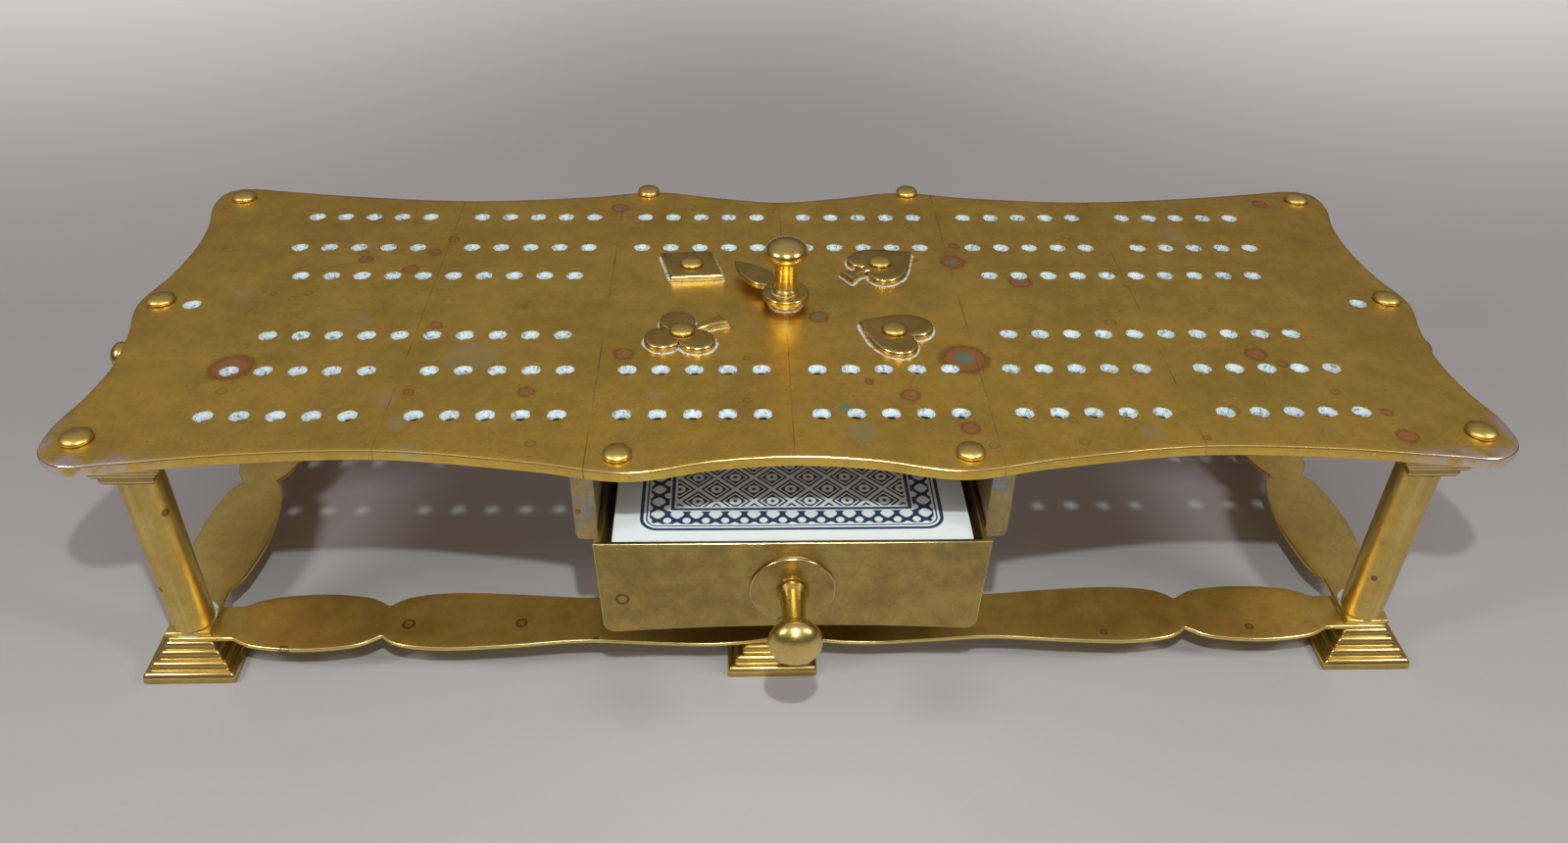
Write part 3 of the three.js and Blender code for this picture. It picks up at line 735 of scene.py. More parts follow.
def inner_points(outer, holes, pitch, dried):
    """Points inside a face: a grid, and a closer one beside dried polish."""
    grid = grid_over(outer, 0, pitch)
    keep = inside(grid, outer) & (distance_to(grid, outer) > pitch * 0.45)
    keep &= clear_of(grid, holes, pitch * 0.5)
    for loop in dried:
        keep &= distance_to(grid, loop) > FINE_REACH
    return [tuple(p) for p in grid[keep]] + fine_points(outer, holes, dried)


def fill(solid, ends, holes, pitch, height, dried, upwards):
    """Covers the space between the first loop and the others with triangles."""
    ids, edges = [], []
    for start, count in ends:
        first = len(ids)
        ids += range(start, start + count)
        edges += [(first + i, first + (i + 1) % count) for i in range(count)]
    outer = [solid.points[i][:2] for i in ids[: ends[0][1]]]
    if pitch:
        grid = inner_points(outer, holes, pitch, dried)
        start = solid.add_points([(x, y, height) for x, y in grid])
        ids += range(start, start + len(grid))
    flat = [Vector(solid.points[i][:2]) for i in ids]
    for loop in dried:
        reach = distance_to([tuple(v) for v in flat], loop)
        within = inside([tuple(v) for v in flat], loop)
        for i, distance, covered in zip(ids, reach, within):
            solid.wear[i] = min(solid.wear[i], -1.0 if covered else distance / DRIED_REACH - 1)
    points, _, faces, origins, _, _ = delaunay_2d_cdt(flat, edges, [], 0, 1e-5, True)
    at = np.array([tuple(p) for p in points])
    centres = at[np.array([list(face) for face in faces])].mean(1)
    covered = inside(centres, outer)
    for x, y, radius in holes:
        covered &= np.hypot(centres[:, 0] - x, centres[:, 1] - y) > radius * 0.97
    for number in np.flatnonzero(covered):
        corners = [ids[origins[i][0]] for i in faces[number]]
        solid.add_face(corners if upwards else corners[::-1])


# ---------------------------------------------------------------- making pieces
SHARP_DEGREES = 38


def placed(name, data):
    """An object that shows some data, linked into the scene."""
    made = bpy.data.objects.new(name, data)
    bpy.context.scene.collection.objects.link(made)
    return made


def piece(name, solid, node, materials, place, turn=0.0, stains=None):
    """Makes the mesh of a solid that stands for a CAD node and rides on its body."""
    mesh = bpy.data.meshes.new(name)
    mesh.from_pydata([Vector(p) * MM for p in solid.points], [], solid.faces)
    for material in materials:
        mesh.materials.append(material)
    mesh.polygons.foreach_set("material_index", solid.slots)
    mesh.polygons.foreach_set("use_smooth", [True] * len(solid.faces))
    wear = mesh.attributes.new("wear", "FLOAT", "POINT")
    wear.data.foreach_set("value", np.array(solid.wear, np.float32))
    if stains is not None:
        painted = mesh.attributes.new("stains", "FLOAT_COLOR", "POINT")
        painted.data.foreach_set("color", np.array(stains, np.float32).ravel())
    mesh.validate()
    mesh.set_sharp_from_angle(angle=math.radians(SHARP_DEGREES))
    made = placed(name, mesh)
    made.matrix_world = Matrix.Translation(place) @ Matrix.Rotation(turn, 4, "Z")
    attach(made, BODY_OF[node])
    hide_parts(node)
    return made


def brass_piece(name, solid, node, finish, place, turn=0.0):
    """A piece in one of the plain brass finishes."""
    piece(name, solid, node, [MATERIALS[finish]], place, turn)


def keep_node(node, finish, bevel=0.2):
    """A CAD node that stays as it is, with its edges softened and a real finish."""
    shown = frame["nodes"][node]
    shown.data.materials.clear()
    shown.data.materials.append(MATERIALS[finish])
    softening = shown.modifiers.new("softened edges", "BEVEL")
    softening.width = bevel * MM
    softening.segments = 2
    softening.limit_method = "ANGLE"
    softening.angle_limit = math.radians(35)
    softening.harden_normals = True


# ---------------------------------------------------------------- dimensions
HOLE_RADIUS = 2.4
HOLE_PITCH = 8.6
GROUP_PITCH = 50.2
FIRST_HOLE_X = 7.2
OUTER_ROWS_Y = (51.6, 32.3)
INNER_ROW_Y = 15.7
INNER_ROW_X = 59.8
FINISH_HOLE_X = 162.3
SHANK_HOLE = 1.6
SHANK_RADIUS = 1.3
SEPARATORS = (0.0, 49.0, 98.7)
BAND_PITCH = 4.8
FIELD_PITCH = 19.0
FRAME_CORNER = 11.0
PRINT_EDGE = 0.06
CARD_FRAMES = (
    (6.4, 7.3, None),
    (7.9, 8.3, None),
    (8.8, 13.6, "band"),
    (14.0, 14.9, None),
    (15.4, 60, "field"),
)
PLATE_TONES = ((0.71, 0.465, 0.09), (0.91, 0.61, 0.122))
PLATE_HALF = [
    (0, 61.9), (18, 64.6), (39, 69), (60, 65.4), (95, 62.5), (130, 65.1), (158, 69.2),
    (168, 70.6), (174.4, 68), (176, 59.5), (173, 45), (172.2, 31), (173.8, 15), (177, 0),
    (173.8, -15), (172, -30), (173.1, -43), (176, -57), (174.6, -66.4), (168, -70.8),
    (157, -69.9), (130, -66.7), (97, -65.6), (62, -70.2), (39, -74.3), (18, -70.1), (0, -68.6),
]
LONG_LOBES = [
    [(0, 5.4), (6, 8.2), (20, 9.8), (38, 9), (55, 8.1), (74, 9.6), (91, 10.4), (103, 8.9), (108.5, 5.6)],
    [(108.5, 5.6), (115, 9), (128, 10.3), (141, 9), (147.5, 6)],
    [(147.5, 6), (164, 6)],
]
SHORT_LOBES = [
    [(0, 5), (6, 8.4), (23, 10.6), (40, 8.8), (47, 6)],
    [(47, 6), (63.5, 6)],
]
BLOCK_TIERS = [(12.1, 3.2), (10.0, 2.1), (7.9, 2.1), (6.5, 2.1)]
CAPITAL_TIERS = [(11.6, 1.7), (10.0, 2.3), (8.0, 2.5), (6.6, 3.0)]
BLOCK_HEIGHT = sum(height for _, height in BLOCK_TIERS)
COLUMN_RADIUS = 5.5
BORE_RADIUS = 3.7
SPIGOT_RADIUS = 3.3
SPIGOT_LENGTH = 12.0
MIDDLE_PIN_LENGTH = 1.8
BOSS_RADIUS = 4.4
HUB_RADIUS = 6.5
HUB_OPENING = 0.3
POINTER_ANGLE = math.radians(129)
PLATE_PITCH, QUICK_PLATE_PITCH = 1.3, 3.0
CARD_LENGTH, CARD_WIDTH = 88.9, 63.5
CARD_THICK = 0.32

COPPER_SPOTS = [
    (-50, 57.5, 3.4), (50, 23.5, 4.6), (46, -28, 8.0), (9, -7, 3.6), (-121, 25, 2.6), (-107, 19, 3.0),
    (-98, 37, 2.0), (-102, 29, 2.4), (-94, -11, 2.2), (-95, -42, 1.8), (-66, -42, 2.6), (-43, -25, 3.4),
    (-142, -31, 7.0), (38, 24.5, 1.8), (52, 33, 2.0), (68, 12, 4.2), (30, -44, 3.2), (43, -58, 3.0),
    (124, -26, 3.6), (148, -52, 2.0), (149, -62, 3.4), (155, 61, 3.0), (-9, 12, 1.6), (20, -38, 1.6),
]
GREEN_SPOTS = [
    (-50, 57.5, 1.8), (50, 23.5, 2.4), (46, -27.5, 3.6), (9, -7, 1.8), (13, -49.5, 2.2), (68, 12, 1.4),
    (-43, -25, 1.3), (-142, -31, 2.0),
]
PALE_SPOTS = [
    (-82, -26, 9.0), (-115, -9, 4.0), (17, -59, 5.2), (87, -60, 3.6), (-100, -45, 3.5), (-95, -55, 3.5),
    (-90, -65, 3.5), (-34, -44, 2.2), (120, 40, 5.0), (-150, 5, 4.5),
]


# ---------------------------------------------------------------- playing plate
def peg_holes():
    holes = []
    for side in (-1, 1):
        holes.append((side * FINISH_HOLE_X, 0, HOLE_RADIUS))
        for half in (-1, 1):
            for row in OUTER_ROWS_Y:
                for i in range(15):
                    x = FIRST_HOLE_X + i // 5 * GROUP_PITCH + i % 5 * HOLE_PITCH
                    holes.append((side * x, half * row, HOLE_RADIUS))
            for i in range(10):
                holes.append((side * (INNER_ROW_X + i * HOLE_PITCH), half * INNER_ROW_Y, HOLE_RADIUS))
    return holes


def spot_strength(points, spots):
    """How deep each point lies in the nearest spot: 1 at its middle, 0 at its rim."""
    p = np.array(points, float)
    depth = np.zeros(len(p))
    for x, y, radius in spots:
        depth = np.maximum(depth, 1 - np.hypot(p[:, 0] - x, p[:, 1] - y) / radius)
    return depth


def on_plate(node):
    """Where a node stands, in the plate's own millimetres."""
    at = (middle_of(node) - Vector((0, BOARD_Y, 0))) / MM
    return at.x, at.y


def build_plate():
    left = [(-x, y) for x, y in PLATE_HALF[-2:0:-1]]
    outline = spline(PLATE_HALF + left, 10, closed=True)[::-1]
    dried = [turned_about(draw(), on_plate(f"suit_rivet_{name}")) for name, draw in SUITS.items()]
    dried.append(circle(0, 0, BOSS_RADIUS, 20))
    pitch = PLATE_PITCH
    solid = slab(outline, PLATE_THICK, 0.55, 0.4, peg_holes(), pitch, 1, dried)
    stains = np.ones((len(solid.points), 4))
    for channel, spots in enumerate((COPPER_SPOTS, GREEN_SPOTS, PALE_SPOTS)):
        stains[:, channel] = spot_strength([p[:2] for p in solid.points], spots)
    place = Vector((0, BOARD_Y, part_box("top_plate")[0].z))
    piece("playing_plate", solid, "top_plate", [plate_brass(), residue_material()], place,
          stains=stains)


def turned_about(outline, at):
    """A suit's outline turned so that its stem points at the middle of the board, and moved to at."""
    turn = math.atan2(at[1], at[0]) - math.pi / 2
    c, s = math.cos(turn), math.sin(turn)
    return [(at[0] + x * c - y * s, at[1] + x * s + y * c) for x, y in outline]


# ---------------------------------------------------------------- rivets
def rivet(radius, rise, length):
    shank = [(0, -length), (SHANK_RADIUS, -length), (SHANK_RADIUS, GAP), (radius - 0.5, GAP)]
    tail = softened(shank, 0.3, 2, 0.2)
    skirt = [(radius - 0.12, GAP + 0.04), (radius, GAP + 0.2)]
    return turned([*tail, *skirt, *dome(radius, rise, GAP + 0.3)], 40)


def build_rivets():
    for node in BODY_OF:
        if "rivet" not in node:
            continue
        low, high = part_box(node)
        width = size_of(node).x
        if node.startswith("suit_rivet"):
            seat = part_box(node.replace("_rivet", ""))[1].z
        else:
            seat = PLATE_TOP
        rise = (high.z - seat) / MM - GAP - 0.3
        centre = middle_of(node)
        head = rivet(width / 2, rise, (seat - low.z) / MM)
        brass_piece(f"{node}_head", head, node, "dome", (centre.x, centre.y, seat))


# ---------------------------------------------------------------- legs
def block_profile(tiers):
    """Each tier has a flat band, leans in above it and steps in to the next."""
    profile = [(0.01, 0)]
    z = 0.0
    for half, height in tiers:
        profile += [(half, z), (half, z + height * 0.6), (half - 0.7, z + height)]
        z += height
    profile.append((0.01, z))
    return softened(profile, 0.55, 3, hollow=0.3)


def build_block(node, tiers, upside_down=False, spigot=(SPIGOT_RADIUS, SPIGOT_LENGTH)):
    """A stepped foot or capital with the pin that holds it."""
    block = squared(block_profile(tiers))
    radius, length = spigot
    top = BLOCK_HEIGHT + length
    block.add(turned([(0.01, BLOCK_HEIGHT - 1), (radius, BLOCK_HEIGHT - 1), (radius, top - 0.3),
                      (radius - 0.3, top), (0.01, top)], 24))
    low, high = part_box(node)
    place = middle_of(node)
    place.z = high.z if upside_down else low.z
    if upside_down:
        block.upside_down()
    # Capitals take the darker capital finish, which is painted shade under the plate's overhang.
    brass_piece(f"{node}_block", block, node, "capital" if upside_down else "cast", place)


def build_column(node, seam):
    """A tube with a soldered seam, which shows as a fine groove."""
    height = size_of(node).z
    sides = 72
    wall = [(BORE_RADIUS, 0), (COLUMN_RADIUS - 0.25, 0), (COLUMN_RADIUS, 0.3), (COLUMN_RADIUS, height * 0.33),
            (COLUMN_RADIUS, height * 0.66), (COLUMN_RADIUS, height - 0.3), (COLUMN_RADIUS - 0.25, height),
            (BORE_RADIUS, height)]
    tube = turned(wall, sides, closed=True)

    def grooved(x, y, z):
        away = math.atan2(y, x) - seam
        away = abs((away + math.pi) % (2 * math.pi) - math.pi)
        radius = math.hypot(x, y)
        if radius < BORE_RADIUS + 0.2:
            return x, y, z
        depth = 0.16 * math.exp(-((away / 0.06) ** 2)) + 0.05 * math.sin(z / 9 + seam) * math.cos(2 * away)
        return x * (1 - depth / radius), y * (1 - depth / radius), z

    tube.mapped(grooved)
    brass_piece(f"{node}_tube", tube, node, "column", underside_of(node))


def build_legs():
    seams = {"front_left": 2.4, "front_right": -1.75, "back_left": 0.4, "back_right": 1.9}
    for corner, seam in seams.items():
        build_block(f"foot_{corner}", BLOCK_TIERS)
        build_block(f"capital_{corner}", CAPITAL_TIERS, upside_down=True)
        build_column(f"column_{corner}", seam)
    for side in ("front", "back"):
        build_block(f"middle_foot_{side}", BLOCK_TIERS, spigot=(SHANK_RADIUS, MIDDLE_PIN_LENGTH))


# ---------------------------------------------------------------- stretchers
def scalloped(lobes):
    quarter = []
    for number, lobe in enumerate(lobes):
        run = spline(lobe, 8 if len(lobe) > 2 else 5)
        quarter += run[1:] if number else run
    return mirrored([*quarter, (quarter[-1][0], 0.0)])[::-1]


def build_stretcher(node, lobes, reach, turn):
    ends = [(side * reach, 0, BORE_RADIUS) for side in (-1, 1)]
    dried = [circle(x, 0, COLUMN_RADIUS - 0.3) for x, _, _ in ends]
    outline = Outline(*scalloped(lobes)[0])
    outline.points = scalloped(lobes)
    strip = slab(outline.done(), size_of(node).z, 0.4, 0.35, ends, 2.2, dried=dried)
    brass_piece(f"{node}_strip", strip, node, "strip", underside_of(node), turn)


def build_stretchers():
    leg = middle_of("foot_front_right")
    leg_x, leg_y = leg.x / MM, abs(leg.y - BOARD_Y) / MM
    for side in ("front", "back"):
        build_stretcher(f"stretcher_{side}", LONG_LOBES, leg_x, 0)
    for side in ("left", "right"):
        build_stretcher(f"stretcher_{side}", SHORT_LOBES, leg_y, math.pi / 2)


# ---------------------------------------------------------------- suits
def diamond():
    return Outline(0, -11.4).line(9.6, 0).line(0, 11.4).line(-9.6, 0).done()


def heart():
    shape = Outline(0, -10.3).curve((4.6, -6.7), (10, -1.9), (10, 3.4)).curve((10, 9.5), (3, 11), (0, 5.3))
    return shape.curve((-3, 11), (-10, 9.5), (-10, 3.4)).curve((-10, -1.9), (-4.6, -6.7), (0, -10.3)).done()


def spade():
    shape = Outline(-3, -12.6).line(3, -12.6).curve((0.8, -9.5), (1.3, -5.2))
    shape.curve((3, -8.2), (9.6, -8.4), (9.6, -1.6)).curve((9.6, 3.8), (3.8, 7.8), (0, 12.2))
    shape.curve((-3.8, 7.8), (-9.6, 3.8), (-9.6, -1.6)).curve((-9.6, -8.4), (-3, -8.2), (-1.3, -5.2))
    return shape.curve((-0.8, -9.5), (-3, -12.6)).done()


def club():
    lobe, pi = 4.9, math.pi
    shape = Outline(-2.6, -12.8).line(2.6, -12.8).curve((0.9, -9), (1.2, -4.4))
    shape.arc(5.4, -1.5, lobe, pi * 1.18, pi * 2.66).arc(0, 6, lobe, pi * 1.84, pi * 3.16)
    return shape.arc(-5.4, -1.5, lobe, pi * 0.34, pi * 1.82).curve((-0.9, -9), (-2.6, -12.8)).done()


SUITS = {"diamond": diamond, "club": club, "spade": spade, "heart": heart}


def build_suits():
    for name, draw in SUITS.items():
        node = f"suit_{name}"
        x, y = on_plate(f"suit_rivet_{name}")
        thick = size_of(node).z
        seat = [circle(0, 0, 2.4, 20)]
        plaque = slab(draw(), thick, 0.85, 0.15, [(0, 0, SHANK_HOLE)], 1.6, dried=seat)
        place = Vector((x * MM, y * MM + BOARD_Y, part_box(node)[0].z))
        turn = math.atan2(y, x) - math.pi / 2
        brass_piece(f"{node}_plaque", plaque, node, "cast", place, turn)


# ---------------------------------------------------------------- knobs and the indicator
def knob(neck, head, half_thick, length, tail_radius, tail_length):
    """A mushroom knob on a waisted neck, with its threaded tail."""
    middle = length + half_thick
    under = dome(head, -half_thick, middle, 12)[::-1]
    under = [p for p in under if p[0] > neck * 0.98]
    foot = [(0.01, -tail_length), (tail_radius, -tail_length), (tail_radius, 0), (neck * 1.3, 0),
            (neck * 1.3, length * 0.08), (neck * 1.08, length * 0.2)]
    waist = [(neck * 0.97, length * 0.45), (neck * 0.95, length * 0.75), (neck * 1.02, length * 0.9)]
    over = dome(head, half_thick, middle, 14)[1:]
    return turned([*softened([*foot, *waist], 0.25, 2, 0.3), *under, *over], 56)


def build_indicator_boss():
    boss_place = Vector((0, BOARD_Y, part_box("indicator_boss")[0].z))
    bore, height = SHANK_HOLE + 0.3, size_of("indicator_boss").z
    rim = [(bore, 0), (BOSS_RADIUS, 0), (BOSS_RADIUS, height), (bore, height)]
    boss = turned(softened([*rim, rim[0]], 0.3, 3), 48)
    brass_piece("indicator_boss_collar", boss, "indicator_boss", "cast", boss_place)


def build_indicator_pointer():
    """A leaf-shaped hand that grows out of a round hub."""
    start = (HUB_RADIUS * math.cos(HUB_OPENING), HUB_RADIUS * math.sin(HUB_OPENING))
    leaf = Outline(*start, 14)
    leaf.arc(0, 0, HUB_RADIUS, HUB_OPENING, 2 * math.pi - HUB_OPENING)
    leaf.curve((9, -5.4), (16, -4.2), (22.4, 0)).curve((16, 4.2), (9, 5.4), start)
    seat = [circle(0, 0, 3.4, 20)]
    pointer = slab(leaf.done(), size_of("indicator_pointer").z, 0.55, 0.25, [(0, 0, 1.9)], 1.5, dried=seat)
    place = Vector((0, BOARD_Y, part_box("indicator_pointer")[0].z))
    brass_piece("indicator_pointer_leaf", pointer, "indicator_pointer", "cast", place, POINTER_ANGLE)


def build_indicator_knob():
    seat_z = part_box("indicator_pointer")[1].z + GAP * MM
    tail = (seat_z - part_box("indicator_knob")[0].z) / MM
    top = knob(neck=3, head=6, half_thick=3.55, length=8.6, tail_radius=1.5, tail_length=tail)
    brass_piece("indicator_knob_turned", top, "indicator_knob", "knob", (0, BOARD_Y, seat_z))


def build_indicator_nut():
    nut_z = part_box("indicator_nut")[0].z
    height = size_of("indicator_nut").z
    nut = slab(circle(0, 0, 3.6, 6), height, 0.25, holes=[(0, 0, 1.8)])
    brass_piece("indicator_nut_hexagon", nut, "indicator_nut", "sheet", (0, BOARD_Y, nut_z))


# ---------------------------------------------------------------- card drawers
FACE_RADIUS = 3.0
FACE_ARCH = 1.7
FACE_TAPER = 0.9


def face_outline(top_half, height):
    half = top_half - FACE_TAPER
    shape = Outline(-top_half, height, 12).line(-half, FACE_RADIUS)
    shape.arc(FACE_RADIUS - half, FACE_RADIUS, FACE_RADIUS, math.pi, 1.5 * math.pi)
    shape.curve((0, 2 * FACE_ARCH), (half - FACE_RADIUS, 0))
    shape.arc(half - FACE_RADIUS, FACE_RADIUS, FACE_RADIUS, 1.5 * math.pi, 2 * math.pi)
    return shape.line(top_half, height).done()


def build_card_drawer(name, turn):
    face_node, plate_node, knob_node = f"{name}_drawer_face", f"{name}_knob_plate", f"{name}_drawer_knob"
    low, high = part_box(face_node)
    width, thick, height = size_of(face_node)
    outward = -1 if turn == 0 else 1
    back_y = high.y if turn == 0 else low.y
    knob_z = middle_of(knob_node).z
    knob_height = (knob_z - low.z) / MM
    disc_radius = size_of(plate_node).x / 2
    dried = [circle(0, knob_height, disc_radius - 0.75, 48)]
    face = slab(face_outline(width / 2, height), thick, 0.4, 0.3, [(0, knob_height, 2.0)], 1.8, dried=dried)
    face.upright()
    brass_piece(f"{name}_drawer_front_sheet", face, face_node, "sheet", (0, back_y, low.z), turn)
    disc_thick = size_of(plate_node).y
    seat = [circle(0, 0, 3.1, 24)]
    rim = circle(0, 0, disc_radius, 64)
    disc = slab(rim, disc_thick, 0.4, 0.15, [(0, 0, 2.0)], 1.4, dried=seat).upright()
    disc_y = back_y + outward * (thick + GAP) * MM
    brass_piece(f"{name}_knob_disc", disc, plate_node, "sheet", (0, disc_y, knob_z), turn)
    seat_y = disc_y + outward * (disc_thick + GAP) * MM
    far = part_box(knob_node)[1].y if turn == 0 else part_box(knob_node)[0].y
    tail = abs(far - seat_y) / MM
    pull = knob(neck=3.1, head=6.6, half_thick=4.5, length=12.2, tail_radius=1.6, tail_length=tail)
    pull.upright()
    brass_piece(f"{name}_knob_turned", pull, knob_node, "knob", (0, seat_y, knob_z), turn)
    keep_node(f"{name}_tray", "sheet")


def card_outline():
    x, y, radius = CARD_LENGTH / 2, CARD_WIDTH / 2, 3.2
    shape = Outline(x, y - radius, 6)
    for quarter, (sx, sy) in enumerate(((1, 1), (-1, 1), (-1, -1), (1, -1))):
        start = quarter * math.pi / 2
        shape.arc(sx * (x - radius), sy * (y - radius), radius, start, (quarter + 1) * math.pi / 2)
    return shape.done()


def build_deck():
    """A pack of cards, each lying a little out of line, with its back up."""
    place = underside_of("card_deck")
    height = size_of("card_deck").z
    outline = card_outline()
    count = int((height - 0.5) / CARD_THICK)
    pack = Solid()
    for number in range(count):
        dx, dy = rng.uniform(-0.16, 0.16), rng.uniform(-0.16, 0.16)
        z = number * CARD_THICK
        rings = [pack.add_points([(x * 0.997 + dx, y * 0.996 + dy, z + level) for x, y in outline])
                 for level in (0.02, CARD_THICK - 0.02)]
        pack.bands(rings, len(outline))
        pack.caps(rings, len(outline))
    piece("card_pack", pack, "card_deck", [paper_material()], place)
    top = slab(outline, CARD_THICK, 0.1, pitch=3.0)
    lift = height - 0.05 - count * CARD_THICK - CARD_THICK
    top.mapped(lambda x, y, z: (x, y, z + lift * (0.25 + 0.75 * abs(x / (CARD_LENGTH / 2)) ** 3)))
    place.z += count * CARD_THICK * MM
    piece("top_card", top, "card_deck", [card_back_material()], place)


def build_runners():
    for side in ("left", "right"):
        keep_node(f"drawer_runner_{side}", "grey", 0.25)


# ---------------------------------------------------------------- peg drawers
PEG_PROFILE = [
    (0.01, 0), (0.9, 0.4), (1.8, 12), (1.8, 19), (1.2, 20), (1.2, 21.5), (2.1, 23), (2.1, 25.5),
    (1.2, 27.5), (0.01, 28),
]


def build_peg_drawers():
    for side, outward in (("left", -1), ("right", 1)):
        keep_node(f"peg_channel_{side}", "sheet")
        keep_node(f"peg_tray_{side}", "sheet")
        turn = 0.0 if outward > 0 else math.pi
        low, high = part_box(f"peg_knob_{side}")
        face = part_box(f"peg_tray_{side}")
        seat_x = face[1].x + GAP * MM if outward > 0 else face[0].x - GAP * MM
        inner = low.x if outward > 0 else high.x
        tail = abs(seat_x - inner) / MM
        pull = knob(neck=1.9, head=4.2, half_thick=3.1, length=5.8, tail_radius=1.1, tail_length=tail)
        pull.along_x()
        place = (seat_x, BOARD_Y, middle_of(f"peg_knob_{side}").z)
        brass_piece(f"peg_knob_{side}_turned", pull, f"peg_knob_{side}", "knob", place, turn)
        peg = turned(softened(PEG_PROFILE, 0.5, 3, 0.5), 32).along_x()
        low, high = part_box(f"peg_{side}")
        start = Vector((low.x if outward > 0 else high.x, (low.y + high.y) / 2, (low.z + high.z) / 2))
        brass_piece(f"peg_{side}_turned", peg, f"peg_{side}", "knob", start, turn)


# Dark, light and bright tones, roughness and tarnish, then streaks and the rarity of spots.
FINISHES = {
    "dome": ((0.58, 0.41, 0.11), (0.74, 0.53, 0.15), (0.92, 0.72, 0.34), 0.37, 0.2),
    "knob": ((0.64, 0.455, 0.125), (0.78, 0.58, 0.20), (0.94, 0.76, 0.36), 0.25, 0.3),
    "cast": ((0.46, 0.315, 0.08), (0.62, 0.43, 0.115), (0.92, 0.70, 0.30), 0.32, 0.3),
    # capital: the feet's cast brass made darker, as painted shade under the plate's overhang.
    "capital": ((0.36, 0.245, 0.07), (0.52, 0.36, 0.105), (0.90, 0.68, 0.32), 0.34, 0.3),
    "column": ((0.60, 0.40, 0.10), (0.76, 0.54, 0.15), (0.94, 0.72, 0.28), 0.33, 0.85, 0.4, 0.42),
    "strip": ((0.74, 0.55, 0.16), (0.92, 0.71, 0.22), (0.95, 0.78, 0.36), 0.38, 0.8, 0.0, 0.52),
    "sheet": ((0.32, 0.225, 0.07), (0.52, 0.365, 0.11), (0.88, 0.70, 0.34), 0.36, 0.85, 0.0, 0.5),
}
MATERIALS = {finish: plain_brass(f"{finish}_brass", *look) for finish, look in FINISHES.items()}
MATERIALS["grey"] = solder_brass()


# ---------------------------------------------------------------- stage, light and camera
FLOOR_HALF = 12.0
CAMERA_PLACE = (-0.0134, -0.2954, 0.2558)
CAMERA_YAW, CAMERA_PITCH, CAMERA_ROLL = 2.67, 36.66, 1.34
CAMERA_LENS = 28.5


def build_floor():
    mesh = bpy.data.meshes.new("floor")
    corners = [(x * FLOOR_HALF, y * FLOOR_HALF, 0) for x, y in ((-1, -1), (1, -1), (1, 1), (-1, 1))]
    mesh.from_pydata(corners, [], [(0, 1, 2, 3)])
    floor = placed("floor", mesh)
    g = Graph("paper_floor", metallic=0.0, roughness=0.55)
    tint = g.mix(g.noise(900, 2), (0.458, 0.434, 0.436), (0.486, 0.464, 0.467))
    g.to_shader(Base_Color=tint)
    g.bump(g.noise(3, 3), 0.08)
    mesh.materials.append(g.material)


def add_lamp(name, place, aim, size, power, colour):
    light = bpy.data.lights.new(name, "AREA")
    light.shape = "DISK"
    light.size = size
    light.energy = power
    light.color = colour
    put_lamp(name, light, place, aim)


def put_lamp(name, light, place, aim):
    lamp = placed(name, light)
    lamp.location = place
    lamp.rotation_mode = "QUATERNION"
    lamp.rotation_quaternion = (Vector(aim) - Vector(place)).to_track_quat("-Z", "Y")


HORIZON_LIGHT, OVERHEAD_LIGHT = 0.055, 0.40


def build_world():
    """Soft light that is dim near the horizon and brighter overhead."""
    world = bpy.data.worlds.new("studio")
    world.use_nodes = True
    nodes, links = world.node_tree.nodes, world.node_tree.links
    direction = nodes.new("ShaderNodeTexCoord").outputs["Generated"]
    height = nodes.new("ShaderNodeSeparateXYZ")
    links.new(direction, height.inputs[0])
    ramp = nodes.new("ShaderNodeMapRange")
    ramp.interpolation_type = "SMOOTHSTEP"
    ramp.inputs["To Min"].default_value = HORIZON_LIGHT
    ramp.inputs["To Max"].default_value = OVERHEAD_LIGHT
    links.new(height.outputs["Z"], ramp.inputs["Value"])
    background = nodes["Background"]
    background.inputs["Color"].default_value = (1.0, 0.915, 0.91, 1)
    links.new(ramp.outputs["Result"], background.inputs["Strength"])
    bpy.context.scene.world = world


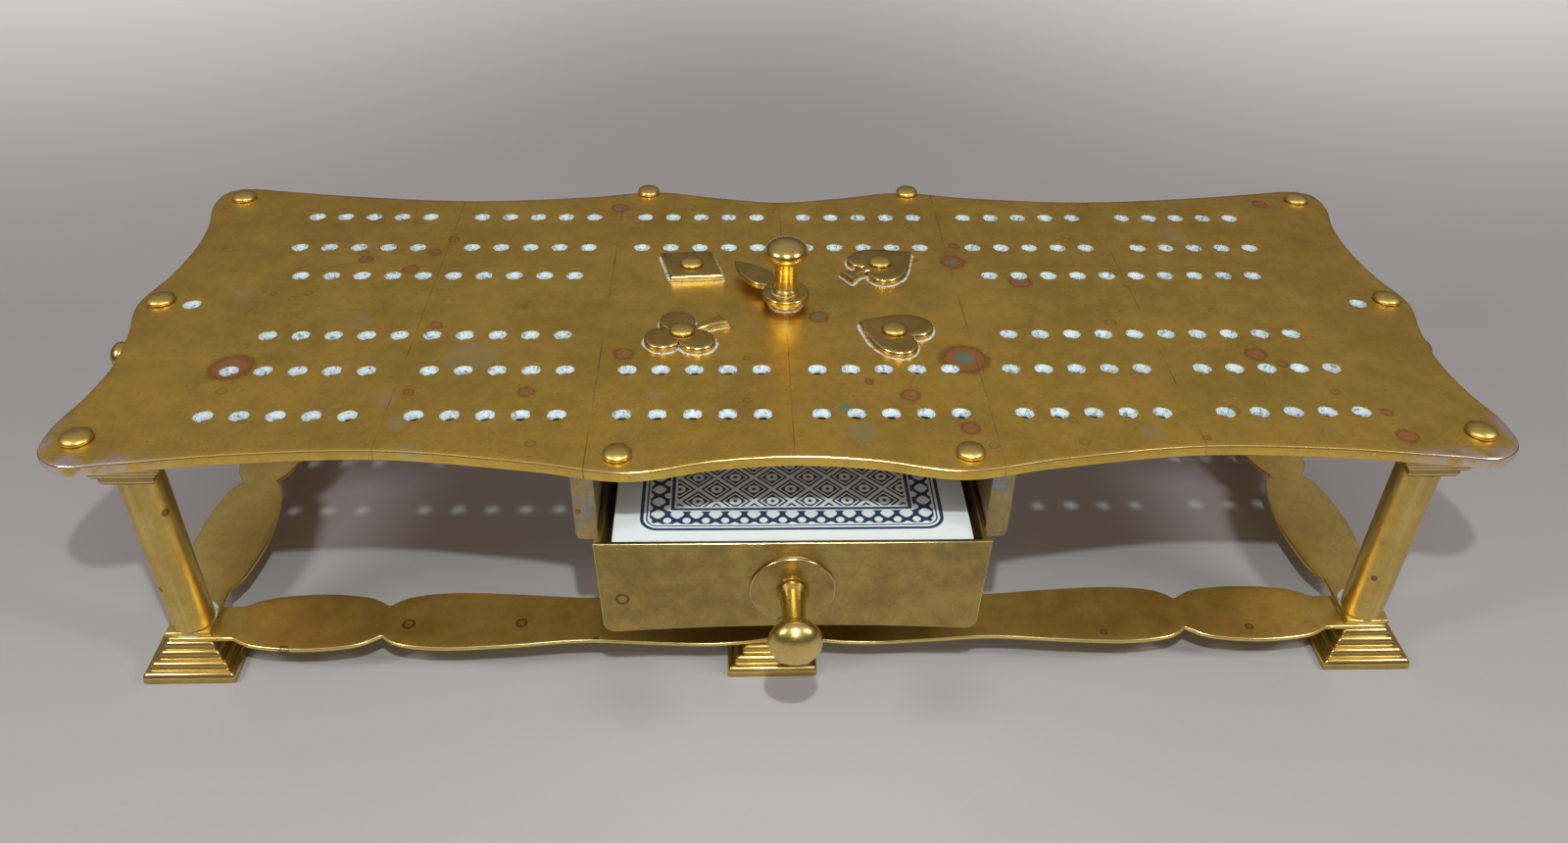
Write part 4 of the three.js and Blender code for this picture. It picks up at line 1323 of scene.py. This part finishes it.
def add_spot(name, place, aim, degrees, power, size, colour):
    light = bpy.data.lights.new(name, "SPOT")
    light.energy = power
    light.spot_size = math.radians(degrees)
    light.spot_blend = 1.0
    light.shadow_soft_size = size
    light.color = colour
    put_lamp(name, light, place, aim)


def build_lights():
    """Three lamps above the front, one narrow one for the open drawer and two on the backdrop."""
    aim = (0, 0.05, 0.03)
    add_lamp("lamp_centre", (-0.005, -0.289, 0.407), aim, 0.012, 0.98, (0.85, 1.0, 0.99))
    add_lamp("lamp_left", (-0.45, -0.25, 0.45), aim, 0.14, 1.0, (1.0, 0.97, 0.96))
    add_lamp("lamp_right", (0.45, -0.25, 0.45), aim, 0.14, 1.0, (1.0, 0.97, 0.97))
    add_spot("lamp_drawer", (0, -0.46, 0.36), (0, -0.058, 0.055), 17, 3.4, 0.08, (1, 1, 1))
    for side, x in (("left", -0.5), ("right", 0.5)):
        add_spot(f"lamp_backdrop_{side}", (x, 0.85, 1.3), (x, 0.85, 0), 62, 92, 0.1, (1.0, 0.95, 0.96))
    bpy.context.scene.view_settings.view_transform = "Standard"


def build_camera():
    yaw, pitch, roll = (math.radians(a) for a in (CAMERA_YAW, CAMERA_PITCH, CAMERA_ROLL))
    forward = Vector((math.sin(yaw) * math.cos(pitch), math.cos(yaw) * math.cos(pitch), -math.sin(pitch)))
    right = Vector((math.cos(yaw), -math.sin(yaw), 0))
    up = right.cross(forward)
    right, up = right * math.cos(roll) + up * math.sin(roll), up * math.cos(roll) - right * math.sin(roll)
    data = bpy.data.cameras.new("camera")
    data.sensor_width = 36
    data.lens = CAMERA_LENS
    data.clip_start = 0.01
    camera = placed("camera", data)
    rotation = Matrix((right, up, -forward)).transposed()
    camera.matrix_world = Matrix.Translation(CAMERA_PLACE) @ rotation.to_4x4()
    bpy.context.scene.camera = camera


build_camera()
build_floor()
build_world()
build_lights()
build_plate()
build_rivets()
build_legs()
build_stretchers()
build_suits()
build_indicator_boss()
build_indicator_pointer()
build_indicator_knob()
build_indicator_nut()
build_runners()
build_card_drawer("front", 0.0)
build_card_drawer("back", math.pi)
build_deck()
build_peg_drawers()
